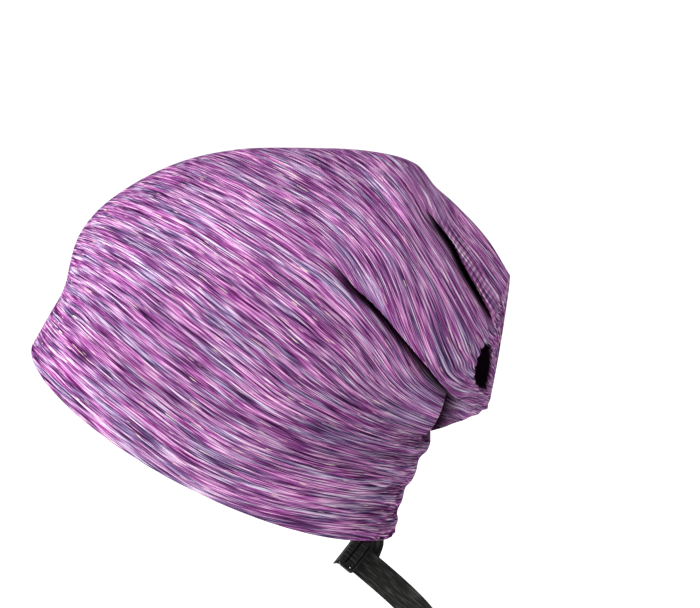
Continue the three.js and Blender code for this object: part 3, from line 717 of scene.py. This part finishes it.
# The satin's ripples where it is sewn in, and its slack over the crown. Waves are
# counted round the head and up the hat.
SEWN = {"height": 1.8, "count": 74, "uneven": 2.2, "uneven_count": 9, "starts": (0, 0.05), "fades": 0.16}
SLACK = {"height": 2.2, "wave": (7, 9), "other_wave": (3, 14), "starts": (0.05, 0.3), "ends": (1.9, 1.2)}


def make_shell():
    grid = ClothGrid(SHELL_AROUND, SHELL_ROWS, fine=True)
    rows = range(len(grid.level))
    hem_row = grid.row_at(1.0)
    band = list(range(0, hem_row + 1, LEAF_STRIDE))
    face = 2 * WALL + channel_at(grid.level)
    rings = [grid.ring(row, 0) for row in reversed(rows)]
    for depth_share, drop_share in RIM_RINGS:
        rings.append(grid.ring(0, face[0] * depth_share, drop=RIM_ROUND * drop_share))
    leaf_start = len(rings)
    rings += [grid.ring(row, face[row]) for row in band]
    back_start = len(rings)
    rings += [grid.ring(row, face[row] - WALL) for row in reversed(band[1:])]
    rings.append(grid.ring(1, WALL + channel_at(0) / 2))
    rings += [grid.ring(row, WALL) for row in rows if row and row % INNER_STRIDE == 0]
    near_nape = np.flatnonzero(abs(grid.turn - math.pi) < SLIT_HALF_TURN)
    left, right = int(near_nape[0]), int(near_nape[-1])
    first, last = leaf_start + np.searchsorted(grid.level[band], SLIT_LEVELS)
    mirror = back_start + len(band) - 1 + leaf_start
    slit = ((first, last, left, right), (mirror - 1 - last, mirror - 1 - first, left, right))
    end = grid.soft_tip - grid.tip_outward * WALL
    return skin("shell_jersey", grid, rings, grid.tip, end, slit)


def make_lining():
    """Satin from the hem's top edge to the tip, gathered where it is sewn in."""
    grid = ClothGrid(LINING_AROUND, LINING_ROWS)
    tuck_row = grid.row_at(LINING_TUCK)
    rows = list(range(tuck_row, len(grid.level)))
    near = WALL + LINING_GAP

    def ripples(row):
        above = grid.level[row] - 1
        uneven = SEWN["uneven"] * np.sin(grid.turn * SEWN["uneven_count"])
        sewn = 0.5 + 0.5 * np.sin(grid.turn * SEWN["count"] + uneven)
        sewn *= SEWN["height"] * smooth(*SEWN["starts"], above) * bell(max(above, 0) / SEWN["fades"])
        waves = [round_head * grid.turn + up_hat * above
                 for round_head, up_hat in (SLACK["wave"], SLACK["other_wave"])]
        slack = 0.5 + 0.5 * np.sin(waves[0]) * np.sin(waves[1])
        slack *= SLACK["height"] * smooth(*SLACK["starts"], above) * smooth(*SLACK["ends"], above)
        return (sewn + slack)[:, None]

    def ring(row, depth):
        made = grid.ring(row, 0)
        made["points"] = made["points"] - grid.soft_outward[row] * (depth + ripples(row))
        return made

    rings = [ring(row, near) for row in reversed(rows)] + [ring(row, near + LINING) for row in rows]
    start = grid.tip - grid.tip_outward * near
    end = grid.tip - grid.tip_outward * (near + LINING)
    return skin("lining_satin", grid, rings, start, end)


# Elastic and slider, as the CAD has them. Each end of the elastic leaves the hem as a
# leg, pulled and swung on its way, folds over a corner behind the slider at STRAP_ACROSS
# or LOOP_ACROSS, and runs through its windows.
ELASTIC_WIDTH = 15.0
ELASTIC = 0.9
SLIDER_THICK = 2.2
PIECE_GAP = 0.3
STRAP_ACROSS = 3.5
LOOP_ACROSS = 2.0
LEG_FOOT = 0.62
LEG_REACH = 14.0
STRAP_PULL = np.array([-1.4, 5, 7.4])
LOOP_PULL = np.array([0.5, 7, 7])
STRAP_SWING = np.array([-2.4, -0.2, -0.2])
LOOP_SWING = np.array([-0.4, 0, 0])
TWIST_END = 0.8
LOOP_HOLLOW = 1.7
SLIT_RUN = 0.25
OUT_OF_SLIT = 2.5
LOOP_RUN = 0.2
RUN_STEP = 0.02
LOOP_TURN = 0.17
SLIDER_CENTRE = np.array([76, -20, -198.5])
SLIDER_LEAN = math.radians(50)
SLIDER_TILT = math.radians(35)
ALONG_BARS = np.array([
    math.cos(SLIDER_TILT) * math.cos(SLIDER_LEAN),
    math.sin(SLIDER_TILT),
    math.cos(SLIDER_TILT) * math.sin(SLIDER_LEAN),
])
ACROSS_BARS = np.array([math.sin(SLIDER_LEAN), 0, -math.cos(SLIDER_LEAN)])
OUT_OF_FRONT = np.cross(ACROSS_BARS, ALONG_BARS)

# Heights of the elastic's layers over the slider's middle, front to back
LAYER_ROOM = 0.5
LOOP_LAYERS = 2.2
LAYER_STEP = ELASTIC + LAYER_ROOM
LAYER_FRONT = SLIDER_THICK / 2 + PIECE_GAP + ELASTIC / 2
LAYER_TAIL = -LAYER_FRONT
LAYER_TURN = LAYER_TAIL - LAYER_STEP
LAYER_LEG = LAYER_TURN - LAYER_STEP
LAYER_LOOP_TURN = LAYER_LEG - LAYER_STEP * LOOP_LAYERS
LAYER_LOOP_LEG = LAYER_LOOP_TURN - LAYER_STEP

# Where the elastic runs through the windows: across the bars, and its layer's height
STRAP_ROUTE = (
    (0.2, LAYER_TURN), (-0.7, LAYER_TURN + 0.2), (-1.35, LAYER_TURN + 0.9),
    (-1.45, LAYER_TURN + 1.8), (-1.45, LAYER_FRONT - 1.1), (-1.2, LAYER_FRONT - 0.35),
    (-0.5, LAYER_FRONT), (1.1, LAYER_FRONT), (1.9, LAYER_FRONT - 0.3),
    (2.25, LAYER_FRONT - 1.1), (2.25, LAYER_TAIL + 1.2), (2.6, LAYER_TAIL + 0.3),
    (3.4, LAYER_TAIL), (6, LAYER_TAIL),
)
LOOP_ROUTE = (
    (-4.2, LAYER_LOOP_TURN), (-5.2, LAYER_LOOP_TURN + 0.6), (-5.35, LAYER_LOOP_TURN + 2),
    (-5.35, LAYER_FRONT - 1.2), (-5.1, LAYER_FRONT - 0.35), (-4.5, LAYER_FRONT),
    (-3.5, LAYER_FRONT), (-2.85, LAYER_FRONT - 0.35), (-2.65, LAYER_FRONT - 1.2),
    (-2.65, LAYER_TAIL - 0.2),
)

# The tail: how far along it, and how far it has turned down there, in degrees
TAIL_TURNS = ((10, 0), (20, 1), (30, 3), (40, 7), (50, 15), (60, 24))

# The elastic's ribs, its rounded edges and its mesh
RIBS = 11
RIB_DEPTH = 0.16
EDGE_POWER = 40
EDGE_SHARE = 0.35
RIBBON_ACROSS = 89
RIBBON_STEPS = 5


def on_slider(along, across, out):
    return SLIDER_CENTRE + ALONG_BARS * along + ACROSS_BARS * across + OUT_OF_FRONT * out


def run_point(run, turn, depth):
    """A point under the cloth at a run within the hem."""
    return cloth_point(run / hem_run(turn), turn, depth)


def down_cloth(run, turn, depth):
    """The direction down the hem towards the rim."""
    below, above = run_point(run - RUN_STEP, turn, depth), run_point(run + RUN_STEP, turn, depth)
    return unit(below - above)


def station(middle, width, thick):
    """A place on a band: its middle, its width and its thickness."""
    return np.concatenate([middle, width * ELASTIC_WIDTH, thick * ELASTIC])


def stations_on(line, width):
    """Stations along a line of points, all with their width in one direction."""
    before, after = line[:1] + line[:-1], line[1:] + line[-1:]
    return [
        station(middle, width, unit(np.cross(width, b - a)))
        for middle, a, b in zip(line, before, after)
    ]


def leg_stations(root, forward, root_width, fold_across, height, lift, steps=9):
    """The band from the hem to its fold on the slider, bent and twisted on its way."""
    foot = on_slider(ELASTIC_WIDTH * LEG_FOOT, fold_across, height)
    corners = (root, root + forward * LEG_REACH, foot + lift, foot)
    stations = []
    for t in np.linspace(0, 1, steps):
        weights = ((1 - t) ** 3, 3 * t * (1 - t) ** 2, 3 * t * t * (1 - t), t**3)
        middle = sum(w * c for w, c in zip(weights, corners))
        pulls = ((1 - t) ** 2, 2 * t * (1 - t), t * t)
        heading = unit(sum(w * (b - a) for w, a, b in zip(pulls, corners[:-1], corners[1:])))
        width = mix(root_width, ACROSS_BARS, smooth(0, TWIST_END, t))
        width = unit(width - heading * (width @ heading))
        thick = unit(np.cross(width, heading))
        stations.append(station(middle, width, thick))
    return stations


def corner_fold(fold_across, low, high, steps=4):
    """The band turns over a line at 45 degrees to its edges."""
    diagonal = unit(ALONG_BARS + ACROSS_BARS)
    outward = unit(ACROSS_BARS - ALONG_BARS)
    centre = on_slider(0, fold_across, (low + high) / 2)
    stations = []
    for angle in np.linspace(0, math.pi, steps + 1):
        spoke = outward * math.sin(angle) - OUT_OF_FRONT * math.cos(angle)
        stations.append(station(centre + spoke * (high - low) / 2, diagonal * math.sqrt(2), spoke))
    return stations


def threaded_stations(rows):
    """The band through the slider's windows."""
    return stations_on([on_slider(0, across, height) for across, height in rows], ALONG_BARS)


def tail_stations(start):
    """The band's free end, which turns down as it leaves the slider."""
    place, thick = start[:3], start[6:] / ELASTIC
    travelled = 0
    stations = []
    for along, down in TAIL_TURNS:
        angle = math.radians(down)
        heading = ACROSS_BARS * math.cos(angle) - ALONG_BARS * math.sin(angle)
        place = place + heading * (along - travelled)
        travelled = along
        width = unit(ALONG_BARS - heading * (ALONG_BARS @ heading))
        stations.append(station(place, width, thick))
    return stations


def strap_stations():
    """From inside the hem, where the turn from the nape and the depth of three points
    lead it through the slit, to the tail's end."""
    hem_back = WALL + CHANNEL
    hem_face = hem_back + WALL
    through_slit = ((0.032, hem_back - 0.2), (0.012, hem_back + 0.7), (-0.012, hem_face + 0.6))
    width = down_cloth(SLIT_RUN, math.pi, hem_face)
    line = [run_point(SLIT_RUN, math.pi + turn, depth) for turn, depth in through_slit]
    out = unit(line[2] - line[1])
    root = line[2] + out * OUT_OF_SLIT
    forward = unit(out + STRAP_SWING)
    threaded = threaded_stations(STRAP_ROUTE)
    return (
        stations_on(line, width)
        + leg_stations(root, forward, width, STRAP_ACROSS, LAYER_LEG, STRAP_PULL)
        + corner_fold(STRAP_ACROSS, LAYER_LEG, LAYER_TURN)
        + threaded
        + tail_stations(threaded[-1])
    )


def loop_stations():
    """From the hem's face to its fold round the slider's end bar."""
    depth = WALL + CHANNEL + WALL + PIECE_GAP + ELASTIC / 2 + LOOP_HOLLOW
    turn = math.pi + LOOP_TURN
    root = run_point(LOOP_RUN, turn, depth)
    forward = unit(down_cloth(LOOP_RUN, turn, depth) + LOOP_SWING)
    return (
        leg_stations(root, forward, np.array([0, 1.0, 0]), LOOP_ACROSS, LAYER_LOOP_LEG, LOOP_PULL)
        + corner_fold(LOOP_ACROSS, LAYER_LOOP_LEG, LAYER_LOOP_TURN)
        + threaded_stations(LOOP_ROUTE)
    )


def make_ribbon(name, stations):
    """A ribbed flat band over stations of middle, width and thickness."""
    stations = np.array(stations)
    at = np.arange(len(stations), dtype=float)
    fine = np.linspace(0, len(stations) - 1, (len(stations) - 1) * RIBBON_STEPS + 1)
    rows = cubic_through(at, stations, fine)
    middle, width, thick = rows[:, :3], rows[:, 3:6], rows[:, 6:]
    across = np.linspace(-0.5, 0.5, RIBBON_ACROSS)
    edge = np.sqrt(np.clip(1 - (np.abs(across) * 2) ** EDGE_POWER, 0, 1))
    rib = 1 - RIB_DEPTH * (0.5 + 0.5 * np.cos(across * 2 * math.pi * RIBS))
    height = 0.5 * rib * mix(EDGE_SHARE, 1, edge)
    profile_across = np.concatenate([across, across[::-1]])
    profile_height = np.concatenate([height, -height])
    points = (
        middle[:, None] + width[:, None] * profile_across[None, :, None]
        + thick[:, None] * profile_height[None, :, None]
    )
    count = len(profile_across)
    last = (len(points) - 1) * count
    faces = []
    for base in range(0, last, count):
        faces += quads_between(base, base + count, count).tolist()
    for i in range(RIBBON_ACROSS - 1):
        faces.append([i, count - 1 - i, count - 2 - i, i + 1])
        faces.append([last + i, last + i + 1, last + count - 2 - i, last + count - 1 - i])
    mesh = bpy.data.meshes.new(name)
    mesh.from_pydata((points.reshape(-1, 3) * MM).tolist(), [], faces)
    mesh.shade_smooth()
    band = np.zeros((len(points), count, 3))
    band[..., 0] = profile_across * ELASTIC_WIDTH
    band[..., 1] = distance_along(middle)[:, None]
    write_vectors(mesh, "band", band * MM)
    face_outward(mesh)
    return added(name, mesh)


# Stitches, in millimetres: the row that joins the hem's top edge to the satin, which is
# raised by a share of its radius, and the tacks that hold the elastic in rows across a
# share of its width
HEM_STITCH = {"level": 0.94, "spacing": 3.4, "length": 2.5, "radius": 0.28}
TACK_STITCH = {"spacing": 1.5, "length": 1.3, "radius": 0.24}
TACKS_IN_FROM_END = (2.0, 4.5)
TACK_SHARE = 0.84
TACK_POINTS = 9
SEAM_RAISED = 0.4


def stitch_tree():
    """Capsules laid end to end along a line, flat on the cloth that the line's facing
    attribute points out of."""
    tree = bpy.data.node_groups.new("row_of_stitches", "GeometryNodeTree")
    sockets = {}
    for label, kind in (
        ("Line", "Geometry"), ("Spacing", "Float"), ("Length", "Float"), ("Radius", "Float"),
        ("Thread", "Material"),
    ):
        socket = tree.interface.new_socket(label, in_out="INPUT", socket_type="NodeSocket" + kind)
        sockets[label] = socket.identifier
    tree.interface.new_socket("Stitches", in_out="OUTPUT", socket_type="NodeSocketGeometry")

    def add(kind, inputs=None, **settings):
        return add_node(tree, kind, inputs, **settings)

    given = add("NodeGroupInput")
    curve = add("GeometryNodeMeshToCurve", {"Mesh": given["Line"]})
    lengths = {"Curve": curve["Curve"], "Length": given["Spacing"]}
    spaced = add("GeometryNodeResampleCurve", lengths, mode="LENGTH")
    tangent = add("GeometryNodeInputTangent")
    facing = add("GeometryNodeInputNamedAttribute", {"Name": "facing"}, data_type="FLOAT_VECTOR")
    along = add("FunctionNodeAlignRotationToVector", {"Vector": tangent["Tangent"]}, axis="X")
    turned = {"Rotation": along["Rotation"], "Vector": facing["Attribute"]}
    flat = add("FunctionNodeAlignRotationToVector", turned, axis="Z", pivot_axis="X")
    ball = add("GeometryNodeMeshUVSphere", {"Segments": 8, "Rings": 5, "Radius": 1.0})
    half = add("ShaderNodeMath", {0: given["Length"], 1: 0.5}, operation="MULTIPLY")
    size = add("ShaderNodeCombineXYZ", {"X": half[0], "Y": given["Radius"], "Z": given["Radius"]})
    placed = add("GeometryNodeInstanceOnPoints", {
        "Points": spaced["Curve"], "Instance": ball["Mesh"], "Rotation": flat["Rotation"],
        "Scale": size[0],
    })
    real = add("GeometryNodeRealizeInstances", {"Geometry": placed["Instances"]})
    dyed = add("GeometryNodeSetMaterial", {"Geometry": real["Geometry"], "Material": given["Thread"]})
    add("NodeGroupOutput", {"Stitches": dyed["Geometry"]})
    return tree, sockets


def sew(name, lines, sizes, thread, tree, sockets):
    """One piece of stitches along lines, each a list of points, ways out and whether it
    closes on itself."""
    points, ways, edges = [], [], []
    for line, facing, closed in lines:
        first = len(points)
        points += list(line)
        ways += list(facing)
        edges += [(first + i, first + i + 1) for i in range(len(line) - 1)]
        if closed:
            edges.append((len(points) - 1, first))
    mesh = bpy.data.meshes.new(name + "_line")
    mesh.from_pydata((np.array(points) * MM).tolist(), edges, [])
    write_vectors(mesh, "facing", ways)
    base = added(name + "_line", mesh)
    modifier = base.modifiers.new("stitches", "NODES")
    modifier.node_group = tree
    for label in ("spacing", "length", "radius"):
        modifier[sockets[label.capitalize()]] = sizes[label] * MM
    modifier[sockets["Thread"]] = thread
    shown = base.evaluated_get(bpy.context.evaluated_depsgraph_get())
    made = bpy.data.meshes.new_from_object(shown)
    made.name = name
    bpy.data.objects.remove(base)
    face_outward(made)
    made.shade_smooth()
    return added(name, made)


def hem_seam_line():
    """Round the inside of the hem's leaf, just under its top edge."""
    grid = ClothGrid(SHELL_AROUND, SHELL_ROWS)
    row = grid.row_at(HEM_STITCH["level"])
    out_of = grid.soft_outward[row]
    depth = 2 * WALL + channel_at(grid.level[row]) + HEM_STITCH["radius"] * SEAM_RAISED
    return grid.soft[row] - out_of * depth, -out_of, True


def tack_line(stations, along, side):
    """Across a band, a little in from its end, on one of its faces."""
    first, second = np.array(stations[0]), np.array(stations[1])
    heading = unit(second[:3] - first[:3])
    middle, width, thick = first[:3] + heading * along, first[3:6], first[6:]
    across = np.linspace(-TACK_SHARE / 2, TACK_SHARE / 2, TACK_POINTS)[:, None]
    lift = thick * 0.5 * side * (1 + TACK_STITCH["radius"] / ELASTIC)
    return middle + width * across + lift, np.tile(unit(thick) * side, (TACK_POINTS, 1)), False


# The moulded slider's edges, in millimetres and degrees: bends under "flat" are not edges,
# and those over "sharp" are rounded
MOULDED = {"merge": 0.01, "flat": 2, "sharp": 60, "round": 0.32, "steps": 3, "shaded": 40}


def make_slider():
    """The moulded slider with its edges rounded."""
    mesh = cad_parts["slider"].data.copy()
    mesh.name = "slider_moulded"
    mesh.materials.clear()
    edit = bmesh.new()
    edit.from_mesh(mesh)
    bmesh.ops.remove_doubles(edit, verts=edit.verts, dist=MOULDED["merge"] * MM)
    flat, sharp = math.radians(MOULDED["flat"]), math.radians(MOULDED["sharp"])
    bmesh.ops.dissolve_limit(edit, angle_limit=flat, verts=edit.verts, edges=edit.edges)
    edges = [e for e in edit.edges if len(e.link_faces) == 2 and e.calc_face_angle() > sharp]
    bmesh.ops.bevel(
        edit, geom=edges, offset=MOULDED["round"] * MM, segments=MOULDED["steps"], profile=0.5,
        affect="EDGES", clamp_overlap=True)
    bmesh.ops.triangulate(edit, faces=edit.faces)
    edit.to_mesh(mesh)
    edit.free()
    mesh.shade_smooth()
    mesh.set_sharp_from_angle(angle=math.radians(MOULDED["shaded"]))
    return added("slider_moulded", mesh)


def colour(code):
    """A screen colour such as #8B4E93 as the linear colour that a shader takes."""
    parts = [int(code[i:i + 2], 16) / 255 for i in (1, 3, 5)]
    linear = [c / 12.92 if c <= 0.04045 else ((c + 0.055) / 1.055) ** 2.4 for c in parts]
    return (*linear, 1.0)


class Nodes:
    """A material's node tree, with short calls for the nodes used here."""

    def __init__(self, name):
        self.material = bpy.data.materials.new(name)
        self.material.use_nodes = True
        self.material.node_tree.nodes.clear()

    def add(self, kind, inputs=None, **settings):
        return add_node(self.material.node_tree, kind, inputs, **settings)

    def attribute(self, name):
        return self.add("ShaderNodeAttribute", attribute_name=name)["Vector"]

    def place(self):
        return self.add("ShaderNodeTexCoord")["Object"]

    def apart(self, vector):
        """The vector's X, Y and Z."""
        return self.add("ShaderNodeSeparateXYZ", {0: vector})

    def stretched(self, vector, sizes, place=(0, 0, 0)):
        """The vector with each axis counted in its own size, in millimetres."""
        scale = tuple(1 / (size * MM) for size in sizes)
        inputs = {"Vector": vector, "Location": place, "Scale": scale}
        return self.add("ShaderNodeMapping", inputs)["Vector"]

    def noise(self, vector, sizes, start=(0, 0, 0), detail=2.0, roughness=0.5):
        """Noise with patches of these sizes, in millimetres."""
        place = self.stretched(vector, sizes, start)
        inputs = {"Vector": place, "Scale": 1.0, "Detail": detail, "Roughness": roughness}
        return self.add("ShaderNodeTexNoise", inputs)["Fac"]

    def sum_of(self, first, share, second, other_share):
        parts = self.math("MULTIPLY", first, share), self.math("MULTIPLY", second, other_share)
        return self.math("ADD", *parts)

    def ramp(self, value, stops):
        """The value's colour on a scale of places and colours."""
        result = self.add("ShaderNodeValToRGB", {"Fac": value})["Color"]
        elements = result.node.color_ramp.elements
        while len(elements) < len(stops):
            elements.new(1.0)
        for element, (place, code) in zip(elements, stops):
            element.position = place
            element.color = colour(code)
        return result

    def math(self, operation, *values):
        return self.add("ShaderNodeMath", dict(enumerate(values)), operation=operation)[0]

    def wave(self, value, period=1.0):
        return self.math("SINE", self.math("MULTIPLY", value, 2 * math.pi / period))

    def range(self, value, low, high, most=1.0):
        """0 at low and most at high."""
        inputs = {"Value": value, "From Min": low, "From Max": high, "To Min": 0, "To Max": most}
        return self.add("ShaderNodeMapRange", inputs, clamp=True)["Result"]

    def blend(self, kind, factor, first, second):
        inputs = {0: factor, 6: first, 7: second}
        return self.add("ShaderNodeMix", inputs, data_type="RGBA", blend_type=kind)[2]

    def moved_up(self, vector, amount):
        """The vector with its third number raised by a small amount, in metres."""
        shift = self.add("ShaderNodeCombineXYZ", {"Z": amount})[0]
        return self.add("ShaderNodeVectorMath", {0: vector, 1: shift}, operation="ADD")[0]

    def bump(self, height, distance, strength, under=None):
        """A normal bent by a height, in millimetres, and by the bump under it."""
        inputs = {"Height": height, "Distance": distance * MM, "Strength": strength}
        if under:
            inputs["Normal"] = under
        return self.add("ShaderNodeBump", inputs)["Normal"]

    def surface(self, base, normal, **sockets):
        inputs = {name.replace("_", " "): value for name, value in sockets.items()}
        inputs.update({"Base Color": base, "Normal": normal})
        shader = self.add("ShaderNodeBsdfPrincipled", inputs)
        self.add("ShaderNodeOutputMaterial", {"Surface": shader[0]})
        return self.material


# The jersey's dye: each pattern's size along a course, through the hat and across the
# courses, where it starts, its detail and its roughness
DYE = {
    "waver": ((30, 30, 30), (0, 0, 0), 1.0, 0.5),
    "fine": ((17, 17, 0.44), (0, 0, 0), 2.0, 0.6),
    "wide": ((22, 22, 1.25), (3, 7, 5), 1.5, 0.5),
    "tints": ((28, 28, 2.2), (11, 2, 9), 1.5, 0.5),
    "flecks": ((11, 11, 0.8), (5, 17, 1), 1.0, 0.5),
    "bands": ((60, 60, 12), (1, 4, 2), 1.0, 0.5),
}
WAVER = 1.8
FINE_SHARE = 0.65
WIDE_SHARE = 0.35
YARN_COLOURS = (
    (0.37, "#25102A"), (0.43, "#4A274D"), (0.483, "#75437A"), (0.52, "#915B90"),
    (0.555, "#AE80AB"), (0.605, "#D2B1CC"), (0.66, "#EFDDE8"),
)
COOL_COLOURS = ((0.40, "#2A2640"), (0.50, "#6A6188"), (0.60, "#C9C5D8"))
WARM_COLOURS = ((0.40, "#561A50"), (0.50, "#A04A97"), (0.60, "#E9ABD8"))
BAND_COLOURS = ((0.3, "#D5CCD8"), (0.7, "#FFFFFF"))

# From which to which value of its pattern, and how strongly at most, a tint covers the yarn, and the
# painted shade between the gathered roll's ribs darkens it
COOL = (0.54, 0.62, 0.62)
WARM = (0.46, 0.39, 0.6)
FLECKS = (0.70, 0.74, 0.7)
SHADE_BETWEEN_RIBS = (0, -1.4, 0.6)


def jersey_material():
    """Space-dyed knit: short lengths of yarn in light, dark and odd colours that run
    round the head, with painted shade between the gathered roll's ribs and in creases."""
    nodes = Nodes("space_dyed_jersey")
    cloth = nodes.attribute("cloth")
    waver = nodes.math("SUBTRACT", nodes.noise(cloth, *DYE["waver"]), 0.5)
    yarn = nodes.moved_up(cloth, nodes.math("MULTIPLY", waver, WAVER * MM))
    fine, wide, tints, flecks, bands = (
        nodes.noise(yarn, *DYE[name]) for name in ("fine", "wide", "tints", "flecks", "bands")
    )
    tone = nodes.sum_of(fine, FINE_SHARE, wide, WIDE_SHARE)
    base = nodes.ramp(tone, YARN_COLOURS)
    base = nodes.blend("MIX", nodes.range(tints, *COOL), base, nodes.ramp(tone, COOL_COLOURS))
    base = nodes.blend("MIX", nodes.range(tints, *WARM), base, nodes.ramp(tone, WARM_COLOURS))
    base = nodes.blend("MIX", nodes.range(flecks, *FLECKS), base, colour("#F0D6CC"))
    base = nodes.blend("MULTIPLY", 1.0, base, nodes.ramp(bands, BAND_COLOURS))
    folds = nodes.apart(nodes.attribute("folds"))
    ribs = nodes.math("MULTIPLY", nodes.wave(folds["Y"], GATHER_SPACING), folds["Z"])
    # Painted shade in the valleys between the gathered roll's ribs
    base = nodes.blend("MIX", nodes.range(ribs, *SHADE_BETWEEN_RIBS), base, colour("#2A1230"))
    # Painted shade, near black, in the creases, nape pleats and slot, as strong as the folds' first mark
    base = nodes.blend("MIX", nodes.range(folds["X"], 0, 1), base, colour("#0A040A"))
    uv = nodes.add("ShaderNodeUVMap", uv_map="UVMap")["UV"]
    knit = nodes.apart(nodes.stretched(uv, (WALE, COURSE, 1)))
    loops = nodes.sum_of(nodes.wave(knit["Y"]), 0.6, nodes.wave(knit["X"]), 0.4)
    normal = nodes.bump(loops, 0.12, 0.35)
    normal = nodes.bump(fine, 0.5, 0.5, normal)
    normal = nodes.bump(ribs, 0.5, 0.9, normal)
    return nodes.surface(base, normal, Roughness=0.7, Sheen_Weight=0.0, Specular_IOR_Level=0.0)


def satin_material():
    nodes = Nodes("silver_satin")
    place = nodes.place()
    clouds = nodes.noise(place, (35, 35, 35))
    base = nodes.ramp(clouds, ((0.3, "#A9ACB8"), (0.55, "#C3C6CF"), (0.75, "#DADBE6")))
    weave = nodes.noise(nodes.attribute("cloth"), (5, 5, 0.3), detail=1.0)
    wrinkles = nodes.noise(place, (14, 14, 22))
    normal = nodes.bump(weave, 0.1, 0.25, nodes.bump(wrinkles, 1.5, 0.45))
    return nodes.surface(
        base, normal, Roughness=0.34, Metallic=0.25, Sheen_Weight=0.2, Sheen_Roughness=0.3,
        Anisotropic=0.5,
    )


def elastic_material():
    nodes = Nodes("black_elastic")
    band = nodes.attribute("band")
    weft = nodes.apart(nodes.stretched(band, (1.2, 0.7, 1)))
    weave = nodes.math("MULTIPLY", nodes.wave(weft["Y"]), nodes.wave(weft["X"]))
    worn = nodes.noise(band, (0.9, 9, 1))
    base = nodes.ramp(worn, ((0.36, "#090908"), (0.52, "#161615"), (0.68, "#3A3A36")))
    return nodes.surface(
        base, nodes.bump(weave, 0.15, 0.6), Roughness=0.75, Sheen_Weight=0.03,
        Sheen_Roughness=0.5, Specular_IOR_Level=0.2,
    )


def moulded_material():
    nodes = Nodes("black_moulding")
    place = nodes.place()
    grain = nodes.noise(place, (0.35, 0.35, 0.35))
    scuffs = nodes.noise(place, (3, 3, 3), detail=3.0)
    base = nodes.ramp(scuffs, ((0.4, "#0C0C0D"), (0.75, "#19191A")))
    return nodes.surface(base, nodes.bump(grain, 0.06, 0.35), Roughness=0.45, Specular_IOR_Level=0.35)


def mottled_material(name, dark, light, size, relief, roughness):
    """Two colours in patches of one size, which also raise the surface a little."""
    nodes = Nodes(name)
    patches = nodes.noise(nodes.place(), (size, size, size), detail=1.0)
    base = nodes.ramp(patches, ((0.35, dark), (0.65, light)))
    return nodes.surface(base, nodes.bump(patches, *relief), Roughness=roughness)


def thread_material(name, dark, light):
    return mottled_material(name, dark, light, 0.4, (0.1, 0.5), 0.6)


def dress(piece, material, slot, *replaced):
    piece.data.materials.clear()
    piece.data.materials.append(material)
    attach(piece, "root")
    if replaced:
        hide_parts(*replaced)


def make_camera():
    camera = added("camera", bpy.data.cameras.new("camera"))
    camera.data.lens = LENS
    camera.data.sensor_width = SENSOR
    camera.data.clip_end = 100
    axis_u, axis_v = side_axes(-1)
    toward = np.cross(axis_u, axis_v)
    target = axis_u * VIEW_RIGHT + axis_v * VIEW_UP
    distance = VIEW_SPAN * LENS / SENSOR
    place = (target + toward * distance) * MM
    turned = Matrix((axis_u, axis_v, toward)).transposed()
    camera.matrix_world = Matrix.Translation(Vector(place)) @ turned.to_4x4()
    bpy.context.scene.camera = camera


def area_light(name, place, target, size, power):
    data = bpy.data.lights.new(name, "AREA")
    data.shape = "DISK"
    data.size = size
    data.energy = power
    light = added(name, data)
    light.location = place
    light.rotation_euler = (Vector(target) - Vector(place)).to_track_quat("-Z", "Y").to_euler()


def soft_sun(name, toward, spread, strength):
    data = bpy.data.lights.new(name, "SUN")
    data.energy = strength
    data.angle = math.radians(spread)
    light = added(name, data)
    light.rotation_euler = Vector(toward).to_track_quat("Z", "Y").to_euler()


# The studio, in metres
FLOOR = "#F4F4F4"
FLOOR_RADIUS = 14
FLOOR_BELOW = 0.06
WORLD_LIGHT = 0.33


def make_studio():
    bpy.context.scene.view_settings.view_transform = "Standard"
    mesh = bpy.data.meshes.new("floor")
    edit = bmesh.new()
    bmesh.ops.create_circle(edit, cap_ends=True, segments=96, radius=FLOOR_RADIUS)
    edit.to_mesh(mesh)
    edit.free()
    mesh.transform(Matrix.Translation((0, 0, cad_box[0][2] - FLOOR_BELOW)))
    floor = added("floor", mesh)
    mesh.materials.append(mottled_material("pale_floor", FLOOR, FLOOR, 900, (0.01, 0.01), 0.9))
    world = bpy.data.worlds.new("studio")
    world.use_nodes = True
    background = world.node_tree.nodes["Background"].inputs
    background["Color"].default_value = (1, 1, 1, 1)
    background["Strength"].default_value = WORLD_LIGHT
    bpy.context.scene.world = world
    soft_sun("overhead", (0.2, -0.45, 1.0), 25, 3.0)
    area_light("front", (-1.4, -0.7, 0.4), (-0.05, 0, -0.1), 0.8, 33)


make_camera()
make_studio()

jersey = jersey_material()
satin = satin_material()
elastic = elastic_material()

shell = make_shell()
dress(shell, jersey, "jersey", "outer_shell")
lining = make_lining()
dress(lining, satin, "satin", "satin_lining")
strap = make_ribbon("strap_elastic", strap_stations())
dress(strap, elastic, "elastic", "elastic_strap")
loop = make_ribbon("loop_elastic", loop_stations())
dress(loop, elastic, "elastic", "slider_loop")
slider = make_slider()
dress(slider, moulded_material(), "slider", "slider")
tree, sockets = stitch_tree()
purple = thread_material("purple_thread", "#5E2F66", "#A46FAA")
black = thread_material("black_thread", "#0E0E0F", "#2A2A2C")
seam = sew("hem_seam_stitches", [hem_seam_line()], HEM_STITCH, purple, tree, sockets)
dress(seam, purple, "jersey")
loop_tacks = [tack_line(loop_stations(), along, side) for along in TACKS_IN_FROM_END for side in (-1, 1)]
tacks = sew("loop_tack_stitches", loop_tacks, TACK_STITCH, black, tree, sockets)
dress(tacks, black, "elastic")
